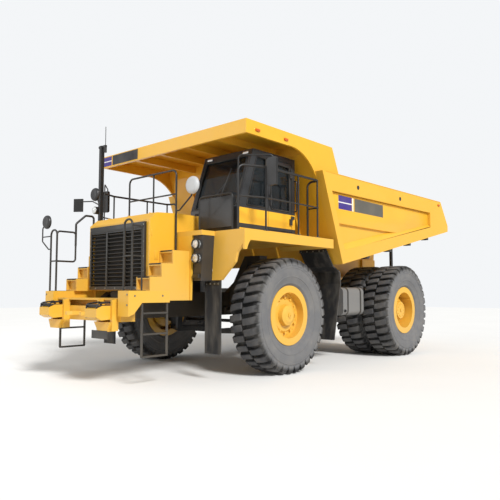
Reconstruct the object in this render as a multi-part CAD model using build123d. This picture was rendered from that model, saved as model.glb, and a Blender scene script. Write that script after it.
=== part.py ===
from build123d import *
import os
from math import sqrt

# Rigid mining dump truck with its dump body lowered.
# Millimetres, +Z up, the truck faces -Y and its left side is +X.
# Below, y is the distance behind the front axle. Every piece is moved on export
# so that the origin lies on the ground under the middle of the truck.

# Overall sizes
wheelbase = 4300
origin_behind_front_axle = 1650
seat_gap = 0.3

# Tyres and rims
tyre_diameter = 2140
tyre_width = 650
tyre_tread_width = 570
bead_diameter = 890
bead_width = 432
rim_flange_diameter = 1100
rim_flange_thickness = 26
rim_wall = 22
front_track = 3515
dual_track = 3080
dual_spacing = 750
wheel_stud_circle = 640
front_hub_radius = 205
front_hub_inboard = 190
rear_hub_radius = 330
axle_tube_radius = 185
bearing_clearance = 2
axle_nose_y = wheelbase - 420
shaft_fall = 0.1

axle_z = tyre_diameter / 2
tyre_radius = tyre_diameter / 2
bead_radius = bead_diameter / 2
flange_radius = rim_flange_diameter / 2
front_wheel_x = front_track / 2
dual_x = dual_track / 2
outer_dual_x = dual_x + dual_spacing / 2
inner_dual_x = dual_x - dual_spacing / 2

# Steering
kingpin_x = 1230
steer_arm_length = 380
steer_arm_z = axle_z - 90
spindle_radius = 78
strut_radius = 100
strut_rod_radius = 66
strut_top_z = axle_z + 1130
strut_tube_top_z = axle_z + 640
strut_tower_depth = 150
lower_arm_top_z = axle_z - 290
lower_arm_thickness = 80
tie_rod_radius = 34
steer_cylinder_arm = 200
steer_cylinder_z = axle_z + 60
steer_cylinder_radius = 52
steer_rod_radius = 26
steer_barrel_end_x = 930
steer_rod_start_x = 775
arm_hanger_y = 510

# Tow eyes
tow_eye_radius = 38
tow_eye_thickness = 60
front_tow_eye_x = 220

# Frame
rail_inner_x = 380
rail_outer_x = 560
rail_front_y = -2750
rail_low_top_z = axle_z + 430
rail_low_bottom_z = axle_z - 20
rail_high_top_z = axle_z + 750
rail_high_bottom_z = axle_z + 410
rear_tow_eye_z = axle_z + 560
pad_height = 60

# Dump body
hinge_y = wheelbase + 1035
hinge_z = rail_high_top_z - 40
hinge_boss_radius = 150
hinge_pin_radius = 60
body_half_width = 2300
body_wall = 180
body_panel = 60
body_front_y = 1360
body_front_z = axle_z + 990
body_tail_y = 6680
body_tail_z = axle_z + 2075
body_rail_z = axle_z + 2790
body_rail_rise = 50
body_rail_depth = 355
floor_thickness = 60
floor_edge_rise = 90
floor_centre_drop = 20
front_wall_lean = 0.382
front_wall_thickness = 86
canopy_bottom_z = axle_z + 3140
canopy_top_z = axle_z + 3385
canopy_front_y = -1340
canopy_rear_y = 1290
canopy_sheet = 40
canopy_flange = 40

# Hoist cylinders, two stages each
hoist_x = 735
hoist_foot_y = 2805
hoist_foot_z = 800
hoist_head_y = 2635
hoist_head_z = 2050
hoist_barrel_radius = 88
hoist_stage_radius = 68
hoist_rod_radius = 48
hoist_pin_radius = 35
hoist_eye_radius = 78
hoist_cheek = 45
hoist_side_gap = 5

# Deck and cab
deck_z = axle_z + 1470
deck_thickness = 80
deck_half_width = 2260
deck_front_y = -1500
deck_rear_y = 1090
hood_half_width = 900
hood_front_y = -2400
hood_wide_rear_y = -1830
hood_top_z = axle_z + 1810
hood_bottom_z = axle_z + 460
hood_shell = 40
grille_half_width = 815
grille_bottom_z = axle_z + 470
grille_top_z = axle_z + 1620
cab_right_x = 560
cab_left_x = 1800
cab_front_y = -1170
cab_rear_y = 440
cab_roof_z = axle_z + 3020
cab_wall = 50
cab_windscreen_rake = 370
cab_sill_z = deck_z + 460
door_rear_y = 330
door_width = 700
door_gap = 9
door_hinge_out = 20
door_hinge_radius = 15

# Bumper and steps
bumper_half_width = 1260
bumper_block_width = 275
bumper_front_y = -3070
bumper_rear_y = -2250
bumper_top_z = axle_z + 450
nose_inner_x = 554
nose_outer_x = 878
nose_front_y = -3380
step_outer_x = 1260
step_rise = 225
step_run = 235
step_front_y = -2660

# Rails, mirrors and mast
rail_tube = 21
small_tube = 14
rail_height = 1110
rail_mid_height = 580
rail_front_post_x = 2030
rail_front_post_y = -1440
rail_rear_y = 640
rail_return_x = 1960
screen_inner_x = 1090
screen_outer_x = 1900
screen_height = 640
hoop_height = 1118
mirror_post_x = 1980
mirror_post_y = -1380
mirror_x = 2430
mirror_y = -1000
mast_x = -1510
mast_y = -1780
mast_width = 76
mast_top_z = axle_z + 3445
whip_length = 385


def block(x0, x1, y0, y1, z0, z1):
    """Box between three pairs of planes."""
    size = Box(abs(x1 - x0), abs(y1 - y0), abs(z1 - z0))
    return Pos((x0 + x1) / 2, (y0 + y1) / 2, (z0 + z1) / 2) * size


def side_prism(outline, x0, x1):
    """Outline of (y, z) points carried from x0 to x1."""
    face = Plane.YZ.offset(min(x0, x1)) * Polygon(*outline, align=None)
    return extrude(face, amount=abs(x1 - x0), dir=(1, 0, 0))


def front_prism(outline, y0, y1):
    """Outline of (x, z) points carried from y0 to y1."""
    face = Plane.XZ.offset(-min(y0, y1)) * Polygon(*outline, align=None)
    return extrude(face, amount=abs(y1 - y0), dir=(0, 1, 0))


def plan_prism(outline, z0, z1):
    """Outline of (x, y) points carried from z0 to z1."""
    face = Plane.XY.offset(min(z0, z1)) * Polygon(*outline, align=None)
    return extrude(face, amount=abs(z1 - z0), dir=(0, 0, 1))


def bar(start, end, radius):
    """Round bar between the centres of its ends."""
    begin = Vector(*start)
    run = Vector(*end) - begin
    plane = Plane(origin=begin, z_dir=run.normalized())
    return plane * Cylinder(radius, run.length, align=(Align.CENTER, Align.CENTER, Align.MIN))


def bent_tube(points, radius, bend):
    """Round tube along straight runs with arcs between them."""
    path = FilletPolyline(*points, radius=bend)
    section = Plane(origin=path @ 0, z_dir=path % 0) * Circle(radius)
    return sweep(section, path=path)


def group(*shapes):
    """Solids that stay apart in one node."""
    return Compound([solid for shape in shapes for solid in shape.solids()])


def both_sides(*shapes):
    """The shapes and their mirror images across the truck's centre plane."""
    return group(*shapes, *[mirror(shape, about=Plane.YZ) for shape in shapes])


def joined(*shapes):
    """Fuses shapes into one."""
    result = shapes[0]
    for shape in shapes[1:]:
        result = result + shape
    return result


def turned(profile):
    """Solid turned about the X axis from a face drawn as (x, radius)."""
    return revolve(profile, axis=Axis.X)


# Wheels


def tyre():
    """One tyre about the X axis, with its round shoulders and bulging sidewalls."""
    half_bulge = tyre_width / 2
    half_tread = tyre_tread_width / 2
    half_bead = bead_width / 2
    shoulder = tyre_radius - 90
    bulge_radius = (tyre_radius + bead_radius) / 2 + 30
    with BuildSketch() as profile:
        with BuildLine():
            Polyline((-half_bead, bead_radius), (half_bead, bead_radius))
            for side in (1, -1):
                Line((side * half_bead, bead_radius), (side * half_bead, flange_radius + 6))
                ThreePointArc(
                    (side * half_bead, flange_radius + 6),
                    (side * half_bulge, bulge_radius),
                    (side * (half_bulge - 12), shoulder),
                )
                ThreePointArc(
                    (side * (half_bulge - 12), shoulder),
                    (side * (half_tread + 12), tyre_radius - 24),
                    (side * half_tread, tyre_radius),
                )
            Line((-half_tread, tyre_radius), (half_tread, tyre_radius))
        make_face()
    return turned(profile.sketch)


def rim_barrel(centre):
    """Rolled rim with a flange at each end, about a centre on the X axis."""
    seat = bead_radius - 1
    inside = seat - rim_wall
    flange_in = bead_width / 2 + 1
    points = [
        (centre - flange_in, seat),
        (centre - flange_in, flange_radius),
        (centre - flange_in - rim_flange_thickness, flange_radius),
        (centre - flange_in - rim_flange_thickness, inside),
        (centre + flange_in + rim_flange_thickness, inside),
        (centre + flange_in + rim_flange_thickness, flange_radius),
        (centre + flange_in, flange_radius),
        (centre + flange_in, seat),
    ]
    return turned(Polygon(*points, align=None))


def front_rim():
    """Front rim, dished disc, domed hub and brake disc as one turning piece."""
    inside = bead_radius - rim_wall - 3
    barrel = rim_barrel(0)
    disc_x = 60
    bore = spindle_radius + bearing_clearance
    inboard = -front_hub_inboard
    points = [
        (disc_x, inside + 4),
        (disc_x + 34, inside + 4),
        (disc_x + 34, 330),
        (disc_x + 64, 290),
        (disc_x + 64, front_hub_radius),
        (disc_x + 150, front_hub_radius - 20),
        (disc_x + 178, 120),
        (disc_x + 186, 0),
        (disc_x + 60, 0),
        (disc_x + 60, bore),
        (inboard, bore),
        (inboard, 330),
        (inboard + 30, 330),
        (inboard + 30, front_hub_radius - 15),
        (disc_x, front_hub_radius),
    ]
    hub = turned(Polygon(*points, align=None))
    stud = Pos(disc_x + 50, wheel_stud_circle / 2, 0) * Rotation(0, 90, 0) * Cylinder(22, 60)
    studs = [Rotation(360 * i / 12, 0, 0) * stud for i in range(12)]
    return joined(barrel, hub, *studs)


def rear_rims():
    """Twin rear rims with their spacer band and final drive hub."""
    half = dual_spacing / 2
    inner = rim_barrel(-half)
    outer = rim_barrel(half)
    seat = bead_radius - 1
    inside = seat - rim_wall
    end = half - bead_width / 2
    band = turned(Polygon((-end, inside), (end, inside), (end, seat), (-end, seat), align=None))
    bore = rear_hub_radius - 90
    points = [
        (end + 40, inside + 4),
        (end + 80, inside + 4),
        (end + 80, rear_hub_radius + 30),
        (end + 130, rear_hub_radius),
        (end + 250, rear_hub_radius - 20),
        (end + 290, rear_hub_radius - 110),
        (end + 360, rear_hub_radius - 130),
        (end + 372, 0),
        (end + 200, 0),
        (end + 200, bore),
        (-half, bore),
        (-half, rear_hub_radius),
        (end + 40, rear_hub_radius),
    ]
    hub = turned(Polygon(*points, align=None))
    stud = Pos(end + 96, rear_hub_radius + 60, 0) * Rotation(0, 90, 0) * Cylinder(20, 60)
    studs = [Rotation(360 * i / 16, 0, 0) * stud for i in range(16)]
    return joined(inner, outer, band, hub, *studs)


# Steering


def knuckle():
    """Left knuckle: upright on the kingpin line, spindle and two arms."""
    arm_thickness = 70
    arm_z = steer_arm_z
    stub_z = lower_arm_top_z + seat_gap
    stub = bar((kingpin_x, 0, stub_z), (kingpin_x, 0, axle_z - 200), 84)
    upright = bar((kingpin_x, 0, axle_z - 205), (kingpin_x, 0, axle_z + 240), 135)
    tube = bar((kingpin_x, 0, axle_z + 200), (kingpin_x, 0, strut_tube_top_z), strut_radius)
    root = bar((kingpin_x + 80, 0, axle_z), (kingpin_x + 215, 0, axle_z), 190)
    collar_end = front_wheel_x - front_hub_inboard - seat_gap
    collar = bar((kingpin_x + 200, 0, axle_z), (collar_end, 0, axle_z), 125)
    spindle = bar((kingpin_x, 0, axle_z), (front_wheel_x + 60 + 40, 0, axle_z), spindle_radius)
    rear_arm = block(
        kingpin_x - 55, kingpin_x + 55, 80, steer_arm_length,
        arm_z - arm_thickness / 2, arm_z + arm_thickness / 2,
    )
    rear_end = Pos(kingpin_x, steer_arm_length, arm_z) * Cylinder(62, arm_thickness)
    pin = Pos(kingpin_x, steer_arm_length, arm_z - 75) * Cylinder(20, 90)
    front_arm = block(
        kingpin_x - 50, kingpin_x + 50, -steer_cylinder_arm, -80,
        steer_cylinder_z - 85, steer_cylinder_z - 35,
    )
    front_end = Pos(kingpin_x, -steer_cylinder_arm, steer_cylinder_z - 60) * Cylinder(60, 50)
    return joined(
        stub, upright, tube, root, collar, spindle, rear_arm, rear_end, pin, front_arm, front_end,
    )


def tie_rod():
    """Rod from one knuckle's rear arm to the other, with an eye at each end."""
    z = steer_arm_z - 82
    reach = kingpin_x - 40
    rod = bar((-reach, steer_arm_length, z), (reach, steer_arm_length, z), tie_rod_radius)
    for side in (-1, 1):
        rod = rod + Pos(side * kingpin_x, steer_arm_length, z) * Cylinder(52, 70)
    for side in (-1, 1):
        rod = rod - Pos(side * kingpin_x, steer_arm_length, z) * Cylinder(21, 90)
    return rod


def steering_barrel():
    """Left steering cylinder's barrel, held by a bracket on the frame."""
    y = -steer_cylinder_arm
    z = steer_cylinder_z
    start = rail_outer_x + 45
    tube = bar((start, y, z), (steer_barrel_end_x, y, z), steer_cylinder_radius)
    bore = bar((start + 40, y, z), (steer_barrel_end_x + 1, y, z), steer_rod_radius + 1)
    bracket = block(rail_outer_x, start + 10, y - 70, y + 70, z - 75, z + 75)
    return joined(tube, bracket) - bore


def steering_rod():
    """Left steering cylinder's rod with the eye over the knuckle's front arm."""
    y = -steer_cylinder_arm
    z = steer_cylinder_z
    rod = bar((steer_rod_start_x, y, z), (kingpin_x - 30, y, z), steer_rod_radius)
    eye = Pos(kingpin_x, y, z) * Cylinder(50, 70 - 2 * seat_gap)
    return rod + eye


# Chassis


def rail_outline():
    """Side outline of a rail: low in front, high under the dump body."""
    rise_y = 900
    return [
        (rail_front_y, rail_low_bottom_z),
        (rail_front_y, rail_low_top_z - 150),
        (hood_front_y - 60, rail_low_top_z - 150),
        (hood_front_y + 150, rail_low_top_z),
        (rise_y, rail_low_top_z),
        (rise_y + 420, rail_high_top_z),
        (hinge_y - 500, rail_high_top_z),
        (hinge_y - 40, hinge_z + 120),
        (hinge_y + 110, hinge_z - 60),
        (hinge_y - 60, hinge_z - 140),
        (hinge_y - 350, rail_high_bottom_z),
        (rise_y + 1900, rail_high_bottom_z),
        (rise_y + 1500, rail_low_bottom_z + 110),
        (rise_y + 700, rail_low_bottom_z),
    ]


def main_frame():
    """Two rails, their crossmembers, hoist brackets, strut towers and hinge bosses."""
    frame = None
    for side in (-1, 1):
        rail = side_prism(rail_outline(), side * rail_inner_x, side * rail_outer_x)
        boss = bar(
            (side * rail_inner_x, hinge_y, hinge_z),
            (side * rail_outer_x, hinge_y, hinge_z),
            hinge_boss_radius,
        )
        hole = bar(
            (side * (rail_inner_x - 5), hinge_y, hinge_z),
            (side * (rail_outer_x + 5), hinge_y, hinge_z),
            hinge_pin_radius + 1,
        )
        rail = rail + boss
        rail = rail - hole
        rail = rail + hoist_bracket(side)
        rail = rail + strut_tower(side)
        frame = rail if frame is None else frame + rail
    cross_reach = rail_inner_x + 20
    for y, z, radius in (
        (-2600, axle_z + 140, 110),
        (0, axle_z + 90, 100),
        (1480, axle_z + 60, 120),
        (3000, axle_z + 560, 110),
        (4900, axle_z + 560, 110),
    ):
        frame = frame + bar((-cross_reach, y, z), (cross_reach, y, z), radius)
    return frame + tow_eye(0, 4900, rear_tow_eye_z, 1)


def tow_eye(x, root_y, z, direction):
    """Flat lug with an upright bored eye that stands out along the truck."""
    outline = [
        (x - 90, root_y),
        (x + 90, root_y),
        (x + 75, root_y + direction * 170),
        (x + 30, root_y + direction * 245),
        (x - 30, root_y + direction * 245),
        (x - 75, root_y + direction * 170),
    ]
    half = tow_eye_thickness / 2
    lug = plan_prism(outline, z - half, z + half)
    return lug - Pos(x, root_y + direction * 175, z) * Cylinder(tow_eye_radius, tow_eye_thickness + 10)


def hoist_bracket(side):
    """Outrigger that holds a hoist cylinder's foot beside the rail."""
    barrel_room = hoist_barrel_radius + hoist_side_gap
    inner_face = hoist_x - barrel_room
    outer_face = hoist_x + barrel_room
    drop = [
        (hoist_foot_y - 105, rail_high_bottom_z + 40),
        (hoist_foot_y + 330, rail_high_bottom_z + 40),
        (hoist_foot_y + 330, hoist_foot_z - 150),
        (hoist_foot_y + 60, hoist_foot_z - 150),
        (hoist_foot_y - 105, hoist_foot_z - 40),
    ]
    cheek = [
        (hoist_foot_y + 330, hoist_foot_z + 90),
        (hoist_foot_y + 330, hoist_foot_z - 150),
        (hoist_foot_y + 60, hoist_foot_z - 150),
        (hoist_foot_y - 95, hoist_foot_z - 60),
        (hoist_foot_y - 95, hoist_foot_z + 60),
        (hoist_foot_y - 40, hoist_foot_z + 95),
    ]
    plate = side_prism(drop, side * rail_outer_x, side * inner_face)
    outer = side_prism(cheek, side * outer_face, side * (outer_face + hoist_cheek))
    beam = block(
        side * (inner_face - 5), side * (outer_face + 5),
        hoist_foot_y + 210, hoist_foot_y + 330, hoist_foot_z - 150, hoist_foot_z + 80,
    )
    bracket = plate + outer + beam
    hole = bar(
        (side * (rail_outer_x - 5), hoist_foot_y, hoist_foot_z),
        (side * (outer_face + hoist_cheek + 5), hoist_foot_y, hoist_foot_z),
        hoist_pin_radius + 1,
    )
    return bracket - hole


def strut_tower(side):
    """Arm that carries the top of a front suspension strut."""
    outline = [
        (rail_outer_x, rail_low_top_z - 240),
        (rail_outer_x, rail_low_top_z),
        (kingpin_x - 260, strut_top_z),
        (kingpin_x + 130, strut_top_z),
        (kingpin_x + 130, strut_top_z - strut_tower_depth),
        (kingpin_x - 190, strut_top_z - strut_tower_depth),
        (rail_outer_x + 130, rail_low_top_z - 240),
    ]
    if side < 0:
        outline = [(-x, z) for x, z in outline]
    return front_prism(outline, -110, 110)


def front_suspension():
    """Lower arms and strut rods of the front axle, left and right."""
    pivot_x = rail_outer_x - 60
    low = lower_arm_top_z - lower_arm_thickness
    reach = arm_hanger_y + 65
    outer = [(pivot_x - 40, -reach), (pivot_x - 40, reach), (kingpin_x, 85), (kingpin_x, -85)]
    window = [
        (pivot_x + 50, 150 - reach),
        (pivot_x + 50, reach - 150),
        (kingpin_x - 190, 40),
        (kingpin_x - 190, -40),
    ]
    arm = plan_prism(outer, low, lower_arm_top_z) - plan_prism(window, low - 5, lower_arm_top_z + 5)
    arm = arm + bar((kingpin_x, 0, low), (kingpin_x, 0, lower_arm_top_z), 95)
    for pivot_y in (-arm_hanger_y, arm_hanger_y):
        hanger = block(
            pivot_x - 40, pivot_x + 40, pivot_y - 60, pivot_y + 60,
            lower_arm_top_z - 10, rail_low_bottom_z,
        )
        arm = arm + hanger
    rod = bar(
        (kingpin_x, 0, strut_tube_top_z + seat_gap), (kingpin_x, 0, strut_top_z - strut_tower_depth),
        strut_rod_radius,
    )
    return both_sides(arm, rod)


def mounts_to_rails(y, z):
    """Block between the rails, a hair short of both."""
    reach = rail_inner_x - seat_gap
    return block(-reach, reach, y - 70, y + 70, z - 50, z + 50)


def engine():
    """Engine with its radiator pack as one plain block, and its mounts."""
    engine_block = block(-340, 340, -2300, -700, axle_z + 60, axle_z + 1240)
    return joined(engine_block, mounts_to_rails(-2050, axle_z + 180), mounts_to_rails(-950, axle_z + 180))


def shaft_point(y):
    """Point on the drive shaft's centre line, which runs down to the rear axle."""
    return (0, y, axle_z - shaft_fall * (y - wheelbase))


def driveline():
    """Transmission and the shaft to the rear axle."""
    gearbox = block(-300, 300, 1650, 2650, axle_z + 20, axle_z + 520)
    mount = mounts_to_rails(2150, axle_z + 330)
    front_shaft = bar((0, -700, axle_z + 330), (0, 1660, axle_z + 330), 70)
    rear_shaft = bar(shaft_point(2640), shaft_point(axle_nose_y - seat_gap), 80)
    flange = bar(shaft_point(2640), shaft_point(2720), 130)
    return joined(gearbox, mount, front_shaft, rear_shaft, flange)


def rear_axle():
    """Rear axle housing with its differential bowl and the fixed hub tubes."""
    reach = dual_x - dual_spacing / 2 - 60
    tube = bar((-reach, wheelbase, axle_z), (reach, wheelbase, axle_z), axle_tube_radius)
    bowl = Pos(0, wheelbase, axle_z) * Sphere(330)
    bowl = bowl & block(-330, 330, wheelbase - 330, wheelbase + 330, axle_z - 290, axle_z + 290)
    nose = bar(shaft_point(axle_nose_y), (0, wheelbase, axle_z), 150)
    hub_tube_radius = rear_hub_radius - 90 - bearing_clearance
    ends = []
    for side in (-1, 1):
        flange_end = side * (inner_dual_x - seat_gap)
        root = (side * reach, wheelbase, axle_z)
        ends.append(bar(root, (side * (dual_x + 40), wheelbase, axle_z), hub_tube_radius))
        ends.append(bar(root, (flange_end, wheelbase, axle_z), rear_hub_radius - 40))
    return joined(tube, bowl, nose, *ends)


def rear_suspension():
    """Suspension cylinders and trailing links between the frame and the rear axle."""
    x = 690
    y = wheelbase + 300
    tube = bar((x, y, axle_z + 60), (x, y, axle_z + 420), 82)
    rod = bar((x, y, axle_z + 400), (x, y, axle_z + 640), 58)
    foot = block(x - 60, x + 60, wheelbase + 100, y + 80, axle_z - 20, axle_z + 60)
    head = block(rail_outer_x, x + 80, y - 80, y + 80, axle_z + 560, axle_z + 660)
    axle_tube = bar((0, wheelbase, axle_z), (x + 200, wheelbase, axle_z), axle_tube_radius + seat_gap)
    shock = joined(foot, tube, rod, head) - axle_tube
    link_x = (rail_inner_x + rail_outer_x) / 2
    link_front_y = 2520
    link = bar((link_x, wheelbase - 160, axle_z - 210), (link_x, link_front_y, axle_z - 20), 52)
    lug = block(link_x - 50, link_x + 50, wheelbase - 220, wheelbase - 60, axle_z - 260, axle_z - 60)
    hanger = block(
        link_x - 60, link_x + 60, link_front_y - 60, link_front_y + 60, axle_z - 80, axle_z + 300,
    )
    rail = side_prism(rail_outline(), rail_inner_x, rail_outer_x)
    link = joined(link, lug, hanger) - axle_tube - rail
    return both_sides(shock, link)


def fuel_tank():
    """Fuel tank between the wheels on the left, with rounded long edges."""
    tank = block(1150, 1900, 1990, 2830, axle_z - 70, axle_z + 530)
    tank = fillet(tank.edges().filter_by(Axis.Y), 110)
    arm = block(rail_outer_x, 1160, 2120, 2240, axle_z + 60, axle_z + 200)
    arm2 = block(rail_outer_x, 1160, 2430, 2550, axle_z + 60, axle_z + 200)
    neck = Pos(1500, 2200, axle_z + 560) * Cylinder(60, 70)
    return joined(tank, arm, arm2, neck)


def hydraulic_tank():
    """Hydraulic oil tank between the wheels on the right."""
    tank = block(-1900, -1150, 1990, 2830, axle_z - 70, axle_z + 530)
    tank = fillet(tank.edges().filter_by(Axis.Y), 60)
    arm = block(-1160, -rail_outer_x, 2120, 2240, axle_z + 60, axle_z + 200)
    arm2 = block(-1160, -rail_outer_x, 2430, 2550, axle_z + 60, axle_z + 200)
    neck = Pos(-1500, 2200, axle_z + 560) * Cylinder(50, 70)
    return joined(tank, arm, arm2, neck)


# Front end


def front_bumper():
    """Bumper: two side blocks with rounded lower lobes, cross beam and two noses."""
    block_outline = [
        (bumper_front_y, bumper_top_z),
        (bumper_rear_y, bumper_top_z),
        (bumper_rear_y, bumper_top_z - 190),
        (bumper_front_y + 260, bumper_top_z - 190),
        (bumper_front_y + 110, bumper_top_z - 360),
        (bumper_front_y, bumper_top_z - 400),
    ]
    inner = bumper_half_width - bumper_block_width
    parts = []
    for side in (-1, 1):
        parts.append(side_prism(block_outline, side * inner, side * bumper_half_width))
        nose_outline = [
            (nose_front_y, axle_z + 40),
            (nose_front_y, axle_z + 170),
            (nose_front_y + 110, axle_z + 215),
            (bumper_front_y + 60, axle_z + 215),
            (bumper_front_y + 60, axle_z + 10),
            (nose_front_y + 90, axle_z - 10),
        ]
        parts.append(side_prism(nose_outline, side * nose_inner_x, side * nose_outer_x))
        cheek_outline = [
            (bumper_front_y - 60, axle_z + 300),
            (bumper_front_y + 60, axle_z + 330),
            (bumper_front_y + 60, axle_z - 180),
            (bumper_front_y - 60, axle_z - 180),
        ]
        for x in (nose_inner_x - 50, nose_outer_x):
            parts.append(side_prism(cheek_outline, side * x, side * (x + 50)))
        lip_outline = [
            (side * (nose_inner_x - 50), axle_z - 40),
            (side * (nose_outer_x + 50), axle_z - 40),
            (side * (nose_outer_x - 20), axle_z - 190),
            (side * (nose_inner_x + 60), axle_z - 190),
        ]
        parts.append(front_prism(lip_outline, bumper_front_y - 110, bumper_front_y + 60))
    reach = inner + 20
    y = bumper_front_y
    beam = block(-reach, reach, y + 50, y + 320, axle_z - 40, axle_z + 200)
    shelf = block(-reach, reach, y + 30, hood_front_y - 60, axle_z + 300, axle_z + 330)
    back = block(-reach, reach, y + 250, y + 320, axle_z + 190, axle_z + 310)
    parts.extend([beam, shelf, back])
    for side in (-1, 1):
        parts.append(tow_eye(side * front_tow_eye_x, y + 60, axle_z + 80, -1))
    return joined(*parts)


def front_steps(side):
    """Three steps from the bumper up to the deck, beside the hood."""
    outline = [(step_front_y, bumper_top_z)]
    y = step_front_y
    z = bumper_top_z
    for _ in range(3):
        z = z + step_rise
        outline.append((y, z))
        y = y + step_run
        outline.append((y, z))
    outline[-1] = (hood_wide_rear_y, z)
    outline.append((hood_wide_rear_y, bumper_top_z - 160))
    outline.append((bumper_rear_y, bumper_top_z - 160))
    outline.append((bumper_rear_y, bumper_top_z))
    steps = side_prism(outline, side * hood_half_width, side * step_outer_x)
    y = step_front_y
    z = bumper_top_z
    for _ in range(3):
        recess = block(
            side * (hood_half_width + 30), side * (step_outer_x - 30),
            y - 5, y + 60, z + 30, z + step_rise - 40,
        )
        steps = steps - recess
        y = y + step_run
        z = z + step_rise
    return steps


def ladder(side):
    """Hanging ladder that faces outward below the bumper's side block."""
    x = side * (bumper_half_width - 40)
    front_y = -2780
    rear_y = -2275
    top_z = bumper_top_z - 190
    rungs = [485, 835, 1165]
    parts = []
    for y in (front_y, rear_y):
        parts.append(bar((x, y, rungs[0]), (x, y, top_z), rail_tube))
    for z in rungs:
        parts.append(block(x - 30, x + 30, front_y, rear_y, z - 14, z + 14))
    return joined(*parts)


def hood():
    """Hood over the engine: sides, sloping front edge and top, open below."""
    outer = [
        (hood_front_y, hood_bottom_z),
        (hood_front_y, hood_top_z - 150),
        (hood_front_y + 150, hood_top_z - 25),
        (hood_wide_rear_y, hood_top_z),
        (cab_front_y - 2, hood_top_z),
        (cab_front_y - 2, deck_z),
        (hood_wide_rear_y, deck_z),
        (hood_wide_rear_y, hood_bottom_z),
    ]
    shell = side_prism(outer, -hood_half_width, hood_half_width)
    inner = [
        (hood_front_y + 30, hood_bottom_z - 10),
        (hood_front_y + 30, hood_top_z - 125 - hood_shell),
        (hood_front_y + 150, hood_top_z - 25 - hood_shell),
        (hood_wide_rear_y, hood_top_z - hood_shell),
        (cab_front_y + 10, hood_top_z - hood_shell),
        (cab_front_y + 10, hood_bottom_z - 10),
    ]
    inside = side_prism(inner, -hood_half_width + hood_shell, hood_half_width - hood_shell)
    air_inlet = block(
        -grille_half_width + 45, grille_half_width - 45, hood_front_y - 10, hood_front_y + 40,
        grille_bottom_z + 60, grille_top_z - 130,
    )
    return shell - inside - air_inlet


def grille():
    """Grille frame with slats across and two posts."""
    y0 = hood_front_y - 45
    y1 = hood_front_y - seat_gap
    frame = block(-grille_half_width, grille_half_width, y0, y1, grille_bottom_z, grille_top_z)
    frame = frame - block(
        -grille_half_width + 45, grille_half_width - 45, y0 - 5, y1 + 5,
        grille_bottom_z + 60, grille_top_z - 130,
    )
    count = 14
    low = grille_bottom_z + 60
    pitch = (grille_top_z - 130 - low) / count
    slat_outline = [(0, 0), (34, -22), (34, -14), (0, 8)]
    for i in range(count):
        z = low + pitch * (i + 0.5)
        outline = [(y0 + 5 + dy, z + dz) for dy, dz in slat_outline]
        frame = frame + side_prism(outline, -grille_half_width + 40, grille_half_width - 40)
    for x in (-270, 270):
        frame = frame + block(x - 16, x + 16, y0 + 2, y1, low - 10, grille_top_z - 120)
    return frame


def bulkhead(side):
    """Upright panel behind the steps, from the frame to the deck."""
    outline = [
        (side * hood_half_width, hood_bottom_z - 170),
        (side * hood_half_width, deck_z - deck_thickness),
        (side * 1320, deck_z - deck_thickness),
        (side * 1290, hood_bottom_z - 170),
    ]
    return front_prism(outline, hood_wide_rear_y, hood_wide_rear_y + 44)


def lamp_panels():
    """Dark tapered panels that hold the headlamps, left and right."""
    outline = [
        (1322, deck_z - deck_thickness),
        (1562, deck_z - deck_thickness),
        (1500, axle_z + 620),
        (1322, axle_z + 620),
    ]
    panel = front_prism(outline, hood_wide_rear_y + 40, deck_front_y - 31)
    return both_sides(panel)


def headlamps():
    """Two round lamps in each dark panel."""
    lamps = []
    y = hood_wide_rear_y
    for z in (deck_z - 230, deck_z - 470):
        lamps.append(bar((1420, y, z), (1420, y + 40 - seat_gap, z), 75))
    return both_sides(*lamps)


def deck(side):
    """Deck plate over a front wheel with the fender's front plate and lips."""
    inner = 905
    landing = 1565
    outline = [
        (side * inner, hood_wide_rear_y),
        (side * landing, hood_wide_rear_y),
        (side * landing, deck_front_y),
        (side * deck_half_width, deck_front_y),
        (side * deck_half_width, deck_rear_y),
        (side * inner, deck_rear_y),
    ]
    plate = plan_prism(outline, deck_z - deck_thickness, deck_z)
    fender_outline = [
        (side * 1565, deck_z),
        (side * deck_half_width, deck_z),
        (side * deck_half_width, deck_z - 200),
        (side * 2090, deck_z - 380),
        (side * 2040, deck_z - 540),
        (side * 1720, deck_z - 840),
        (side * 1505, deck_z - 840),
    ]
    fender = front_prism(fender_outline, deck_front_y - 30, deck_front_y + 30)
    corner_y = deck_front_y - 30
    corner_z = deck_z - 340
    with BuildSketch(Plane.YZ.offset(side * (deck_half_width - 20) - 20)) as corner:
        with BuildLine():
            Polyline((corner_y + 440, deck_z - 90), (corner_y + 440, deck_z), (corner_y, deck_z))
            Line((corner_y, deck_z), (corner_y, corner_z))
            Line((corner_y, corner_z), (corner_y + 60, corner_z))
            ThreePointArc(
                (corner_y + 60, corner_z),
                (corner_y + 185, deck_z - 155),
                (corner_y + 440, deck_z - 90),
            )
        make_face()
    gusset = extrude(corner.sketch, amount=40, dir=(1, 0, 0))
    edge = side * deck_half_width
    lip = block(edge - side * 40, edge, deck_front_y, deck_rear_y, deck_z - 180, deck_z)
    rear_lip_outline = [
        (deck_rear_y - 160, deck_z - deck_thickness),
        (deck_rear_y, deck_z - deck_thickness),
        (deck_rear_y, deck_z - 180),
        (deck_rear_y - 60, deck_z - 180),
        (deck_rear_y - 160, deck_z - 110),
    ]
    rear = side_prism(rear_lip_outline, side * 1000, side * deck_half_width)
    return joined(plate, fender, gusset, lip, rear)


def deck_centre():
    """Plate that joins the two decks behind the hood."""
    return block(-904, 904, hood_wide_rear_y, deck_rear_y, deck_z - deck_thickness, deck_z)


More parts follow.
